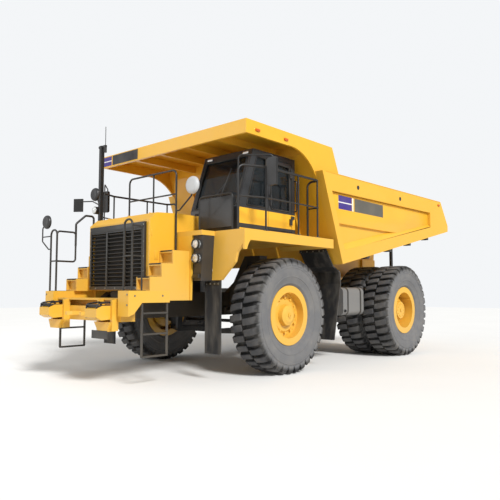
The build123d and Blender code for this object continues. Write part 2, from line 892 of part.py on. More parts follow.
def mudflaps():
    """Rubber flaps ahead of and behind each front wheel."""
    front = block(1320, 1700, deck_front_y - 15, deck_front_y + 10, axle_z - 620, deck_z - 840)
    top_z = deck_z - 180 - seat_gap
    rear_outline = [
        (deck_rear_y - 45, top_z),
        (deck_rear_y - 15, top_z),
        (body_front_y - 45, body_front_z - 25),
        (body_front_y + 215, axle_z + 850),
        (body_front_y + 240, axle_z + 600),
        (body_front_y - 25, axle_z - 530),
        (body_front_y - 50, axle_z - 530),
        (body_front_y + 212, axle_z + 600),
        (body_front_y + 190, axle_z + 832),
        (body_front_y - 68, body_front_z - 42),
    ]
    rear = side_prism(rear_outline, 1450, 2100)
    return both_sides(front, rear)


# Cab


def cab_outline(inset):
    """Side outline of the cab, moved inward by a wall thickness."""
    return [
        (cab_front_y + inset, deck_z + inset),
        (cab_front_y + inset, cab_sill_z),
        (cab_front_y + cab_windscreen_rake + inset, cab_roof_z - inset),
        (cab_rear_y - inset, cab_roof_z - inset),
        (cab_rear_y - inset, deck_z + inset),
    ]


def cab_shell():
    """Hollow cab with its window and door openings cut."""
    shell = side_prism(cab_outline(0), cab_right_x, cab_left_x)
    room = side_prism(cab_outline(cab_wall), cab_right_x + cab_wall, cab_left_x - cab_wall)
    shell = shell - room
    top = cab_roof_z - 130
    screen = [
        (cab_right_x + 90, cab_sill_z + 40),
        (cab_left_x - 90, cab_sill_z + 40),
        (cab_left_x - 90, top),
        (cab_right_x + 90, top),
    ]
    shell = shell - front_prism(screen, cab_front_y - 10, cab_front_y + 480)
    shell = shell - block(
        cab_right_x + 120, cab_left_x - 120, cab_rear_y - 80, cab_rear_y + 10, cab_sill_z + 60, top,
    )
    shell = shell - side_prism(front_window_outline(0), cab_left_x - 80, cab_left_x + 10)
    shell = shell - side_prism(door_outline(-door_gap), cab_left_x - 80, cab_left_x + 10)
    right_window = [
        (cab_front_y + 190, cab_sill_z + 40),
        (cab_front_y + cab_windscreen_rake + 100, top),
        (cab_rear_y - 110, top),
        (cab_rear_y - 110, cab_sill_z + 40),
    ]
    shell = shell - side_prism(right_window, cab_right_x - 10, cab_right_x + 80)
    for z in door_hinge_heights():
        shell = shell + shell_hinge(z + 60 + seat_gap)
    return shell


def door_hinge_heights():
    """Middle heights of the door's two hinge knuckles."""
    return (deck_z + 300, cab_roof_z - 330)


def shell_hinge(z):
    """Hinge knuckle and leaf on the cab wall, standing on a height."""
    y = door_rear_y - 16
    x = cab_left_x + door_hinge_out
    knuckle_tube = bar((x, y, z), (x, y, z + 60), door_hinge_radius)
    leaf = block(x - 10, x + 10, y, door_rear_y + 60, z, z + 60)
    foot = block(cab_left_x - 5, x + 10, door_rear_y + door_gap + 4, door_rear_y + 60, z, z + 60)
    return joined(knuckle_tube, leaf, foot)


def front_window_outline(inset):
    """Outline of the fixed window ahead of the door."""
    top = cab_roof_z - 130
    door_front = door_rear_y - door_width
    return [
        (cab_front_y + 190 + inset, cab_sill_z + 40 + inset),
        (cab_front_y + cab_windscreen_rake + 100 + inset, top - inset),
        (door_front - 70 - inset, top - inset),
        (door_front - 70 - inset, cab_sill_z + 40 + inset),
    ]


def door_outline(inset):
    """Outline of the left door, or of its opening for a negative inset."""
    front = door_rear_y - door_width
    return [
        (front + inset, deck_z + 110 + inset),
        (front + inset, cab_roof_z - 110 - inset),
        (door_rear_y - inset, cab_roof_z - 110 - inset),
        (door_rear_y - inset, deck_z + 110 + inset),
    ]


def door_window_outline(inset):
    """Outline of the window in the door."""
    front = door_rear_y - door_width
    return [
        (front + 70 + inset, cab_sill_z + 40 + inset),
        (front + 70 + inset, cab_roof_z - 180 - inset),
        (door_rear_y - 70 - inset, cab_roof_z - 180 - inset),
        (door_rear_y - 70 - inset, cab_sill_z + 40 + inset),
    ]


def cab_door():
    """Left door, as thick as the cab wall, with its window opening and hinges."""
    door = side_prism(door_outline(0), cab_left_x - cab_wall, cab_left_x)
    door = door - side_prism(door_window_outline(0), cab_left_x - cab_wall - 10, cab_left_x + 10)
    x = cab_left_x + door_hinge_out
    y = door_rear_y - 16
    for z in door_hinge_heights():
        leaf = block(cab_left_x - 5, x + 10, y - 60, y, z - 60, z + 60)
        door = door + bar((x, y, z - 60), (x, y, z + 60), door_hinge_radius) + leaf
    front = door_rear_y - door_width
    handle = block(cab_left_x, cab_left_x + 30, front + 30, front + 60, deck_z + 560, deck_z + 760)
    return door + handle


def door_glass():
    """Pane in the left door."""
    mid = cab_left_x - cab_wall / 2
    return side_prism(door_window_outline(0), mid - 5, mid + 5)


def cab_glass():
    """Fixed panes: windscreen, rear window, right window and left front window."""
    top = cab_roof_z - 130
    mid = cab_wall / 2
    slope = cab_windscreen_rake / (cab_roof_z - cab_sill_z)
    low_z = cab_sill_z + 40
    screen_outline = [
        (cab_front_y + 20 + slope * 40, low_z),
        (cab_front_y + 30 + slope * 40, low_z),
        (cab_front_y + 30 + slope * (top - cab_sill_z), top),
        (cab_front_y + 20 + slope * (top - cab_sill_z), top),
    ]
    rear_y = cab_rear_y - mid
    right_outline = [
        (cab_front_y + 190, low_z),
        (cab_front_y + cab_windscreen_rake + 100, top),
        (cab_rear_y - 110, top),
        (cab_rear_y - 110, low_z),
    ]
    windscreen = side_prism(screen_outline, cab_right_x + 90, cab_left_x - 90)
    rear_pane = block(
        cab_right_x + 120, cab_left_x - 120, rear_y - 5, rear_y + 5, cab_sill_z + 60, top,
    )
    left_pane = side_prism(front_window_outline(0), cab_left_x - mid - 5, cab_left_x - mid + 5)
    right_pane = side_prism(right_outline, cab_right_x + mid - 5, cab_right_x + mid + 5)
    return group(windscreen, rear_pane, left_pane, right_pane)


def cab_seat():
    """Operator's seat: pedestal, cushion and back."""
    x = (cab_left_x + cab_right_x) / 2
    floor = deck_z + cab_wall
    base = block(x - 170, x + 170, -330, 50, floor, floor + 330)
    cushion = block(x - 260, x + 260, -400, 100, floor + 330, floor + 470)
    cushion = fillet(cushion.edges().filter_by(Axis.X), 50)
    back_outline = [
        (60, floor + 440),
        (190, floor + 440),
        (260, floor + 1130),
        (150, floor + 1130),
    ]
    back = side_prism(back_outline, x - 240, x + 240)
    return joined(base, cushion, back)


def cab_controls():
    """Dashboard, steering column and steering wheel."""
    x = (cab_left_x + cab_right_x) / 2
    floor = deck_z + cab_wall
    dash_outline = [
        (cab_front_y + cab_wall, floor),
        (cab_front_y + cab_wall, floor + 380),
        (cab_front_y + 170, floor + 460),
        (cab_front_y + 330, floor + 400),
        (cab_front_y + 300, floor),
    ]
    dash = side_prism(dash_outline, cab_right_x + cab_wall + 1, cab_left_x - cab_wall - 1)
    column = bar((x, cab_front_y + 260, floor + 300), (x, -590, floor + 640), 38)
    wheel_plane = Plane(origin=(x, -590, floor + 640), z_dir=Vector(0, 0.55, 0.83).normalized())
    wheel = wheel_plane * Torus(215, 18)
    spoke = wheel_plane * Box(430, 34, 16)
    return joined(dash, column, wheel, spoke)


# Rails, mirrors and mast


def guardrail(side):
    """Rail around the outer edge of a deck, turned inward at its rear end."""
    x = side * (deck_half_width - rail_tube - 4)
    inner_x = side * rail_return_x
    post_x = side * rail_front_post_x
    top_z = deck_z + rail_height
    mid_z = deck_z + rail_mid_height
    corner_y = rail_front_post_y + 480
    top = bent_tube(
        [
            (post_x, rail_front_post_y, deck_z),
            (post_x, rail_front_post_y, top_z),
            (x, corner_y, top_z),
            (x, rail_rear_y, top_z),
            (inner_x, rail_rear_y, top_z),
            (inner_x, rail_rear_y, deck_z),
        ],
        rail_tube, 110,
    )
    mid = bent_tube(
        [
            (post_x, rail_front_post_y, mid_z),
            (x, corner_y, mid_z),
            (x, rail_rear_y, mid_z),
            (inner_x, rail_rear_y, mid_z),
        ],
        small_tube, 60,
    )
    posts = []
    for y in (corner_y, corner_y + 930, rail_rear_y - 60):
        posts.append(bar((x, y, deck_z), (x, y, top_z), small_tube + 3))
    return joined(top, mid, *posts)


def deck_screen():
    """Sheet in a tube frame that stands on the left deck ahead of the cab."""
    y = rail_front_post_y
    top_z = deck_z + screen_height
    frame = bent_tube(
        [
            (screen_inner_x, y, deck_z),
            (screen_inner_x, y, top_z),
            (screen_outer_x, y, top_z),
            (screen_outer_x, y, deck_z),
        ],
        rail_tube - 3, 75,
    )
    sheet = block(screen_inner_x, screen_outer_x, y - 6, y + 6, deck_z + 70, top_z - 40)
    return frame + sheet


def hood_rail():
    """Guardrail that stands on the hood's rear edge and comes down on the left steps."""
    y = hood_wide_rear_y - 22
    left_x = hood_half_width + 32
    foot_z = hood_top_z + seat_gap
    top_z = deck_z + rail_height
    mid_z = deck_z + 680
    step_z = bumper_top_z + 3 * step_rise + seat_gap
    top = bent_tube(
        [(-430, y, foot_z), (-430, y, top_z), (left_x, y, top_z), (left_x, y, step_z)],
        small_tube + 3, 100,
    )
    mid = bar((-430, y, mid_z), (left_x, y, mid_z), small_tube)
    post = bar((300, y, foot_z), (300, y, top_z), small_tube + 1)
    return joined(top, mid, post)


def front_hoop(side):
    """Grab hoop across the front of a bumper block, with a rung."""
    y = bumper_front_y + 70
    outer_x = side * (bumper_half_width - 20)
    inner_x = side * (bumper_half_width - 230)
    top_z = bumper_top_z + hoop_height
    rung_z = bumper_top_z + 545
    hoop = bent_tube(
        [
            (inner_x, y, bumper_top_z + seat_gap),
            (inner_x, y, top_z),
            (outer_x, y, top_z),
            (outer_x, y, bumper_top_z + seat_gap),
        ],
        small_tube + 3, 95,
    )
    return hoop + bar((inner_x, y, rung_z), (outer_x, y, rung_z), small_tube)


def left_hoop_post():
    """Third post of the left hoop, bent over to meet it."""
    x = bumper_half_width - 20
    y = bumper_front_y + 70
    top_z = bumper_top_z + hoop_height - 95
    rung_z = bumper_top_z + 545
    post = bent_tube(
        [(x, y + 190, bumper_top_z + seat_gap), (x, y + 190, top_z), (x, y, top_z)],
        small_tube, 70,
    )
    return post + bar((x, y, rung_z), (x, y + 190, rung_z), small_tube)


def right_step_rail():
    """Panel of tube on the right bumper block and the rail that climbs beside the steps."""
    x = -(bumper_half_width - 18)
    front_y = bumper_front_y + 190
    rear_y = bumper_front_y + 577
    top_z = bumper_top_z + hoop_height
    low_z = bumper_top_z + 557
    panel = bent_tube(
        [
            (x, front_y, bumper_top_z + seat_gap),
            (x, front_y, top_z),
            (x, rear_y, top_z),
            (x, rear_y, low_z),
            (x, front_y, low_z),
        ],
        small_tube + 3, 60,
    )
    step_z = bumper_top_z + 3 * step_rise + seat_gap
    climb = bent_tube(
        [
            (x, rear_y, low_z + 300),
            (x, rear_y, top_z + 170),
            (x, rear_y + 205, top_z + 348),
            (x, rear_y + 385, top_z + 348),
            (x, rear_y + 385, step_z),
        ],
        small_tube + 6, 55,
    )
    return panel + climb


def round_mirror(x, y, z, radius):
    """Shallow domed mirror that faces forward and down the truck's side."""
    half = radius / 2
    dish = Pos(x, y, z) * Rotation(90, 0, 0) * Cylinder(radius, half)
    return fillet(dish.edges().sort_by(Axis.Y)[0], half * 0.7)


def mirrors():
    """Mirrors on tube arms: tall side mirrors, round ones ahead and a small flat one."""
    arm_z = deck_z + 1290
    head_z = deck_z + 760
    arm = bent_tube(
        [
            (mirror_post_x, mirror_post_y, deck_z + seat_gap),
            (mirror_post_x, mirror_post_y, arm_z),
            (mirror_x, mirror_y, arm_z),
            (mirror_x, mirror_y, head_z),
        ],
        small_tube, 60,
    )
    head = block(mirror_x - 90, mirror_x + 110, mirror_y - 58, mirror_y - 5, head_z, head_z + 480)
    side_mirror = arm + fillet(head.edges().filter_by(Axis.Y), 40)
    return group(both_sides(side_mirror), left_round_mirror(), right_round_mirror(), landing_mirrors())


def left_round_mirror():
    """Round mirror on an arm from the hood rail's left post."""
    y = hood_wide_rear_y - 22
    post_x = hood_half_width + 32
    x = post_x + 400
    start_x = post_x + small_tube + 3 + seat_gap
    arm = bent_tube(
        [
            (start_x, y, deck_z + 380),
            (start_x + 70, y, deck_z + 380),
            (x, y, deck_z + 610),
            (x, y, deck_z + 730),
        ],
        small_tube, 40,
    )
    return arm + round_mirror(x + 30, y - 20, deck_z + 780, 150)


def right_round_mirror():
    """Round mirror on a bracket from the right front hoop."""
    y = bumper_front_y + 70
    hoop_x = -(bumper_half_width - 20)
    start_x = hoop_x - small_tube - 3 - seat_gap
    x = hoop_x - 320
    low_z = bumper_top_z + 770
    arm = bent_tube(
        [
            (start_x, y, low_z),
            (start_x - 70, y, low_z),
            (x, y, low_z + 160),
            (x, y, low_z + 410),
            (x + 150, y, low_z + 500),
        ],
        small_tube - 2, 40,
    )
    brace = bar((start_x, y, low_z + 240), (x, y, low_z + 240), small_tube - 3)
    return joined(arm, brace, round_mirror(x + 155, y - 10, low_z + 515, 125))


def landing_mirrors():
    """Post at the top of the right steps with a lamp and two mirrors on arms."""
    x = -(step_outer_x - 25)
    y = hood_wide_rear_y - 150
    foot_z = bumper_top_z + 3 * step_rise + seat_gap
    top_z = deck_z + 700
    post = bar((x, y, foot_z), (x, y, top_z), small_tube + 2)
    arm = bent_tube(
        [(x, y, top_z - 12), (x - 80, y - 120, top_z + 60), (x - 330, y - 260, top_z + 60)],
        small_tube - 2, 40,
    )
    plate = Pos(x - 350, y - 265, top_z - 10) * Rotation(0, 0, 35) * Box(190, 30, 260)
    lamp = Pos(x - 95, y - 20, top_z - 110) * Rotation(90, 0, 0) * Cylinder(75, 90)
    bracket = bar((x, y, top_z - 110), (x - 60, y - 10, top_z - 110), 12)
    stay = bar((x, y, top_z - 40), (x - 170, y + 20, top_z + 220), small_tube - 2)
    return joined(post, arm, plate, lamp, bracket, stay, round_mirror(x - 175, y - 10, top_z + 225, 130))


def mast():
    """Square aerial mast on the right landing with its cross bar, whip and small lamp."""
    x = mast_x
    y = mast_y
    half = mast_width / 2
    post = block(x - half, x + half, y - half, y + half, deck_z + seat_gap, mast_top_z)
    foot = block(x - 45, x + 45, y - 45, y + 45, deck_z + seat_gap, deck_z + 20)
    cross = block(x - 90, x + 150, y - 22, y + 22, mast_top_z - 40, mast_top_z)
    whip = bar((x + 130, y, mast_top_z - 10), (x + 130, y, mast_top_z + whip_length), 7)
    lamp = bar((x + 120, y, mast_top_z - 150), (x + 120, y, mast_top_z - 30), 32)
    return joined(post, foot, cross, whip, lamp)


# Dump body


def floor_line(y):
    """Height of the body's lower edge at a distance behind the front axle."""
    share = (y - body_front_y) / (body_tail_y - body_front_y)
    return body_front_z + share * (body_tail_z - body_front_z)


def wall_line(z, offset):
    """Position of the leaning front wall's face at a height."""
    return body_front_y - (z - body_front_z) * front_wall_lean + offset


def ahead_of_wall():
    """Space in front of the front wall's inner face."""
    low = body_front_z - 400
    high = canopy_top_z + 400
    return side_prism(
        [
            (wall_line(low, front_wall_thickness), low),
            (wall_line(high, front_wall_thickness), high),
            (canopy_front_y - 500, high),
            (canopy_front_y - 500, low),
        ],
        -body_half_width - 100, body_half_width + 100,
    )


def body_floor():
    """Floor with its centre lower than its edges, sloping up to the tail."""
    start = body_front_y - 400
    half = body_half_width - body_wall
    z = floor_line(start)
    outline = [
        (-half, z + floor_edge_rise),
        (0, z - floor_centre_drop),
        (half, z + floor_edge_rise),
        (half, z + floor_edge_rise + floor_thickness),
        (0, z - floor_centre_drop + floor_thickness),
        (-half, z + floor_edge_rise + floor_thickness),
    ]
    section = Plane.XZ.offset(-start) * Polygon(*outline, align=None)
    run = Vector(0, body_tail_y - start, floor_line(body_tail_y) - z)
    slab = extrude(section, amount=run.length, dir=run.normalized())
    return slab - ahead_of_wall()


def above_floor():
    """Space taken by the floor and everything above it."""
    start = body_front_y - 400
    half = body_half_width - body_wall
    z = floor_line(start)
    underside = z - seat_gap
    outline = [
        (-half, underside + floor_edge_rise),
        (0, underside - floor_centre_drop),
        (half, underside + floor_edge_rise),
        (half, z + 3000),
        (-half, z + 3000),
    ]
    section = Plane.XZ.offset(-start) * Polygon(*outline, align=None)
    run = Vector(0, body_tail_y - start, floor_line(body_tail_y) - z)
    return extrude(section, amount=run.length, dir=run.normalized())


def body_sills():
    """Two sills below the floor with hinge ears, pins and hoist ears."""
    bottom = rail_high_top_z + pad_height
    start = body_front_y + 300
    sills = []
    for side in (-1, 1):
        beam_outline = [
            (start, bottom),
            (hinge_y - 420, bottom),
            (hinge_y - 240, hinge_z + 190),
            (hinge_y + 330, hinge_z + 190),
            (hinge_y + 500, hinge_z + 1700),
            (start, bottom + 600),
        ]
        beam = side_prism(beam_outline, side * rail_inner_x, side * rail_outer_x)
        ear_outline = [
            (hinge_y - 330, hinge_z + 260),
            (hinge_y - 105, hinge_z - 90),
            (hinge_y - 50, hinge_z - 125),
            (hinge_y + 50, hinge_z - 125),
            (hinge_y + 105, hinge_z - 90),
            (hinge_y + 330, hinge_z + 400),
            (hinge_y + 330, hinge_z + 600),
            (hinge_y - 330, hinge_z + 600),
        ]
        outer_ear = side_prism(ear_outline, side * (rail_outer_x + 5), side * (rail_outer_x + 60))
        inner_ear = side_prism(ear_outline, side * (rail_inner_x - 60), side * (rail_inner_x - 5))
        tie = block(
            side * (rail_inner_x - 60), side * (rail_outer_x + 60),
            hinge_y - 330, hinge_y + 330, hinge_z + 260, hinge_z + 560,
        )
        pin = bar(
            (side * (rail_inner_x - 60), hinge_y, hinge_z),
            (side * (rail_outer_x + 60), hinge_y, hinge_z),
            hinge_pin_radius,
        )
        sills.append(joined(beam, outer_ear, inner_ear, tie, pin, hoist_ears(side)))
    reach = rail_inner_x + 20
    crosses = []
    for y in (start + 120, hinge_y - 1500, hinge_y - 800):
        crosses.append(block(-reach, reach, y - 60, y + 60, bottom + 60, bottom + 900))
    return joined(*sills, *crosses) - above_floor()


def hoist_ears(side):
    """Plates that hold a hoist cylinder's rod eye under the floor."""
    barrel_room = hoist_barrel_radius + hoist_side_gap
    outline = [
        (hoist_head_y - 150, hoist_head_z + 500),
        (hoist_head_y - 75, hoist_head_z - 60),
        (hoist_head_y + 75, hoist_head_z - 60),
        (hoist_head_y + 260, hoist_head_z + 500),
    ]
    ears = []
    for x in (hoist_x - barrel_room - 25, hoist_x + barrel_room):
        ears.append(side_prism(outline, side * x, side * (x + 25)))
    tie = block(
        side * (rail_outer_x - 10), side * (hoist_x + barrel_room + 25),
        hoist_head_y - 40, hoist_head_y + 160, hoist_head_z + 130, hoist_head_z + 500,
    )
    hole = bar(
        (side * (hoist_x - barrel_room - 30), hoist_head_y, hoist_head_z),
        (side * (hoist_x + barrel_room + 30), hoist_head_y, hoist_head_z),
        hoist_pin_radius + 12,
    )
    return joined(*ears, tie) - hole


def body_side(side):
    """One side: top rail, lower rib, posts and the recessed panel between them."""
    inner = side * (body_half_width - body_wall)
    outer = side * body_half_width
    rail_z = body_rail_z
    outline = [
        (body_front_y, body_front_z),
        (wall_line(rail_z, 0), rail_z),
        (body_tail_y - 440, rail_z + body_rail_rise),
        (body_tail_y, body_tail_z + 160),
        (body_tail_y, body_tail_z),
    ]
    panel = side_prism(outline, inner, outer)
    rib = 270
    recess = [
        (wall_line(body_front_z + 300, 190), floor_line(wall_line(body_front_z + 300, 190)) + rib),
        (wall_line(rail_z - body_rail_depth, 190), rail_z - body_rail_depth),
        (5570, rail_z - body_rail_depth + 45),
        (5570, floor_line(5570) + rib - 20),
    ]
    recess_solid = side_prism(recess, side * (body_half_width - body_wall + body_panel), outer + side * 10)
    return panel - recess_solid


def body_front_wall():
    """Front wall that leans forward from the floor to the canopy."""
    low = body_front_z
    high = canopy_bottom_z
    half = body_half_width - body_wall
    outline = [
        (wall_line(low, 0), low),
        (wall_line(high, 0), high),
        (wall_line(high, front_wall_thickness), high),
        (wall_line(low, front_wall_thickness), low),
    ]
    wall = side_prism(outline, -half, half)
    for x in (-1400, -700, 0, 700, 1400):
        rib = [
            (wall_line(low + 150, 0), low + 150),
            (wall_line(low + 150, -50), low + 150),
            (wall_line(high - 60, -50), high - 60),
            (wall_line(high - 60, 0), high - 60),
        ]
        wall = wall + side_prism(rib, x - 35, x + 35)
    return wall


def canopy():
    """Canopy over the cab: sheet, front beam, ribs below and side gussets."""
    half = body_half_width - body_wall
    rail_z = body_rail_z
    sheet = block(-half, half, canopy_front_y, canopy_rear_y, canopy_top_z - canopy_sheet, canopy_top_z)
    beam = block(-half, half, canopy_front_y, canopy_front_y + 60, canopy_bottom_z, canopy_top_z)
    wall_top = block(
        -half, half, wall_line(canopy_bottom_z, 0), wall_line(canopy_bottom_z, front_wall_thickness),
        canopy_bottom_z, canopy_top_z,
    )
    parts = [sheet, beam, wall_top]
    for x in (-1200, -400, 400, 1200):
        rib = [
            (canopy_front_y, canopy_bottom_z + 60),
            (wall_line(canopy_bottom_z, 0), canopy_bottom_z + 60),
            (wall_line(canopy_bottom_z, 0), canopy_top_z),
            (canopy_front_y, canopy_top_z),
        ]
        parts.append(side_prism(rib, x - 30, x + 30))
    low_y = wall_line(rail_z - body_rail_depth, 0)
    for side in (-1, 1):
        with BuildSketch(Plane.YZ.offset(side * half)) as gusset:
            with BuildLine():
                Polyline(
                    (canopy_front_y, canopy_bottom_z),
                    (canopy_front_y, canopy_top_z),
                    (canopy_rear_y, canopy_top_z),
                    (canopy_rear_y + 260, rail_z + 20),
                    (low_y + 300, rail_z - body_rail_depth),
                    (low_y, rail_z - body_rail_depth),
                )
                ThreePointArc(
                    (low_y, rail_z - body_rail_depth),
                    (low_y - 330, canopy_bottom_z - 190),
                    (low_y - 1000, canopy_bottom_z),
                )
                Line((low_y - 1000, canopy_bottom_z), (canopy_front_y, canopy_bottom_z))
            make_face()
        parts.append(extrude(gusset.sketch, amount=canopy_flange, dir=(-side, 0, 0)))
    shape = joined(*parts)
    wall = body_front_wall()
    return shape - wall


def rock_ejectors():
    """Bars that hang from the body between the twin tyres."""
    y = wheelbase + 557
    top = floor_line(y) + 200
    bar_shape = block(dual_x - 25, dual_x + 25, y - 45, y + 45, axle_z + 820, top)
    foot = block(dual_x - 28, dual_x + 28, y - 60, y + 60, axle_z + 800, axle_z + 900)
    shape = (bar_shape + foot) - above_floor()
    return both_sides(shape)


# Hoist cylinders


def hoist_axis_point(distance):
    """Point on the cylinder's centre line at a distance from its foot."""
    run = Vector(0, hoist_head_y - hoist_foot_y, hoist_head_z - hoist_foot_z).normalized()
    return run * distance + Vector(hoist_x, hoist_foot_y, hoist_foot_z)


def hoist_length():
    """Closed length between the cylinder's pins."""
    return sqrt((hoist_head_y - hoist_foot_y) ** 2 + (hoist_head_z - hoist_foot_z) ** 2)


def hoist_tube(start, end, radius):
    """Round length of the cylinder between two distances from its foot."""
    return bar(tuple(hoist_axis_point(start)), tuple(hoist_axis_point(end)), radius)


def hoist_barrel():
    """Outer barrel with its foot eye and pin, left side."""
    end = hoist_length() - 110
    tube = hoist_tube(60, end, hoist_barrel_radius) - hoist_tube(80, end + 1, hoist_stage_radius + 1)
    eye = bar(
        (hoist_x - hoist_barrel_radius, hoist_foot_y, hoist_foot_z),
        (hoist_x + hoist_barrel_radius, hoist_foot_y, hoist_foot_z),
        hoist_eye_radius,
    )
    reach = hoist_barrel_radius + hoist_side_gap + hoist_cheek
    pin = bar(
        (hoist_x - reach, hoist_foot_y, hoist_foot_z),
        (hoist_x + reach, hoist_foot_y, hoist_foot_z),
        hoist_pin_radius,
    )
    return joined(tube, eye, pin)


def hoist_stage():
    """Middle stage tube of the cylinder, left side."""
    end = hoist_length() - 100
    return hoist_tube(90, end, hoist_stage_radius) - hoist_tube(110, end + 1, hoist_rod_radius + 1)


def hoist_rod():
    """Rod of the cylinder with its head eye and pin, left side."""
    end = hoist_length()
    rod = hoist_tube(120, end - 20, hoist_rod_radius)
    eye = bar(
        (hoist_x - 60, hoist_head_y, hoist_head_z),
        (hoist_x + 60, hoist_head_y, hoist_head_z),
        hoist_eye_radius - 10,
    )
    return rod + eye


def right(shape):
    """Right-hand mirror image."""
    return mirror(shape, about=Plane.YZ)


def at_front_wheel(side, shape):
    """Places a turned wheel piece at a front wheel, outboard face outward."""
    placed = Pos(front_wheel_x, 0, axle_z) * shape
    return placed if side > 0 else right(placed)


def at_rear_wheels(side, shape):
    """Places a turned wheel piece at a pair of rear wheels."""
    placed = Pos(dual_x, wheelbase, axle_z) * shape
    return placed if side > 0 else right(placed)


def twin_tyres():
    """Two rear tyres side by side."""
    half = dual_spacing / 2
    return group(Pos(-half, 0, 0) * tyre(), Pos(half, 0, 0) * tyre())


def save(name, shape):
    """Writes one node, moved to the truck's own origin."""
    solids = [Pos(0, -origin_behind_front_axle, 0) * solid for solid in shape.solids()]
    node = solids[0] if len(solids) == 1 else Compound(solids)
    export_step(node, "parts/" + name + ".step")


def main():
    """Builds and writes every node."""
    os.makedirs("parts", exist_ok=True)
    save("main_frame", main_frame())
    save("front_suspension", front_suspension())
    save("steering_barrels", both_sides(steering_barrel()))
    save("engine", engine())
    save("driveline", driveline())
    save("rear_axle", rear_axle())
    save("rear_suspension", rear_suspension())
    save("fuel_tank", fuel_tank())
    save("hydraulic_tank", hydraulic_tank())
    save("front_bumper", front_bumper())
    save("ladders", group(ladder(1), ladder(-1)))
    save("front_steps", group(front_steps(1), front_steps(-1)))
    save("hood", hood())
    save("grille", grille())
    save("bulkheads", group(bulkhead(1), bulkhead(-1)))
    save("lamp_panels", lamp_panels())
    save("headlamps", headlamps())
    save("decks", group(deck(1), deck(-1)))
    save("deck_centre", deck_centre())
    save("mudflaps", mudflaps())
    save("cab_shell", cab_shell())
    save("cab_glass", cab_glass())
    save("cab_seat", cab_seat())
    save("cab_controls", cab_controls())
    save("cab_door", cab_door())
    save("cab_door_glass", door_glass())
    save("guardrails", group(guardrail(1), guardrail(-1), deck_screen()))
    save("grille_rail", hood_rail())
    save("step_rails", group(front_hoop(1) + left_hoop_post(), front_hoop(-1), right_step_rail()))
    save("mirrors", mirrors())
    save("mast", mast())
    front_rim_shape = front_rim()
    tyre_shape = tyre()
    rear_rim_shape = rear_rims()
    twin_shape = twin_tyres()
    knuckle_shape = knuckle()
    rod_shape = steering_rod()
    barrel_shape = hoist_barrel()
    stage_shape = hoist_stage()
    hoist_rod_shape = hoist_rod()
    for side, name in ((1, "left"), (-1, "right")):
        save("front_tyre_" + name, at_front_wheel(side, tyre_shape))
        save("front_rim_" + name, at_front_wheel(side, front_rim_shape))
        save("rear_tyres_" + name, at_rear_wheels(side, twin_shape))
        save("rear_rims_" + name, at_rear_wheels(side, rear_rim_shape))
        save("knuckle_" + name, knuckle_shape if side > 0 else right(knuckle_shape))
        save("steering_rod_" + name, rod_shape if side > 0 else right(rod_shape))
        save("hoist_barrel_" + name, barrel_shape if side > 0 else right(barrel_shape))
        save("hoist_stage_" + name, stage_shape if side > 0 else right(stage_shape))
        save("hoist_rod_" + name, hoist_rod_shape if side > 0 else right(hoist_rod_shape))
    save("body_sides", group(body_side(1), body_side(-1)))
    save("tie_rod", tie_rod())
    save("body_floor", body_floor())
    save("body_sills", body_sills())
    save("body_front_wall", body_front_wall())
    save("canopy", canopy())
    save("rock_ejectors", rock_ejectors())


main()
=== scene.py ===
from math import cos, pi, radians, sin

import bmesh
import bpy
from bpy.props import FloatProperty, FloatVectorProperty, IntProperty, PointerProperty
from mathutils import Matrix, Vector


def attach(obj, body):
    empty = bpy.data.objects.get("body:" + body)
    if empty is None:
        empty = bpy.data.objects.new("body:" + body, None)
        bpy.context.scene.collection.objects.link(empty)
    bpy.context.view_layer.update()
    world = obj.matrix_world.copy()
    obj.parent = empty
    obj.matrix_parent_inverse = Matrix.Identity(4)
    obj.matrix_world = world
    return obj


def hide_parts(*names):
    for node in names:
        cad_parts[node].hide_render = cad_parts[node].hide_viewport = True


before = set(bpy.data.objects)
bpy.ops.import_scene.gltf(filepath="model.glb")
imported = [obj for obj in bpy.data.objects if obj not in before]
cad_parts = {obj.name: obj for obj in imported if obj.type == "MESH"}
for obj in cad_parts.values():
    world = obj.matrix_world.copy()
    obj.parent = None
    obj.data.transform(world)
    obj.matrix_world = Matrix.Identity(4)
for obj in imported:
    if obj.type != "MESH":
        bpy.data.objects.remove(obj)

bl_info = {
    "name": "Mining dump truck",
    "version": (1, 0, 0),
    "blender": (4, 5, 0),
    "location": "3D View > Sidebar > Dump truck",
    "description": "Finishes and details of a rigid mining dump truck",
    "category": "Object",
}

# Metres. Pieces are drawn with y measured back from the front axle, and
# finish_piece moves them to the frame, whose origin lies ORIGIN_Y behind it.
ORIGIN_Y = 1.650
REAR_AXLE = 4.300
AXLE_Z = 1.070
FRONT_WHEEL_X = 1.7575
REAR_WHEELS_X = 1.540
HALF_DUAL_SPACING = 0.375
KINGPIN_X = 1.230
DECK_Z = 2.540
GRILLE_Y = -2.445
STEP_RUN = 0.235
STEP_RISE = 0.225
CAB_LEFT_X = 1.800
CAB_FLOOR_Z = 2.590
SEAT_X = 1.180
SIDES = (("left", 1), ("right", -1))


def linear(code):
    """Linear RGBA colour of an sRGB hex value."""
    parts = [int(code[i:i + 2], 16) / 255 for i in (1, 3, 5)]
    return [c / 12.92 if c <= 0.04045 else ((c + 0.055) / 1.055) ** 2.4 for c in parts] + [1.0]


# Mesh tools


def new_verts(bm, before):
    """Vertices made since a set of them was taken."""
    return [v for v in bm.verts if v not in before]


def round_edges(bm, edges, width, segments=2):
    """Rounds edges."""
    bmesh.ops.bevel(
        bm, geom=edges, offset=width, offset_type="OFFSET", segments=segments,
        profile=0.5, affect="EDGES", material=-1, clamp_overlap=True,
    )


def edges_of(verts):
    """Every edge of a shape."""
    return list({e for v in verts for e in v.link_edges})


def face_outward(bm, verts):
    """Turns the faces of a shape outward."""
    bmesh.ops.recalc_face_normals(bm, faces=list({f for v in verts for f in v.link_faces}))


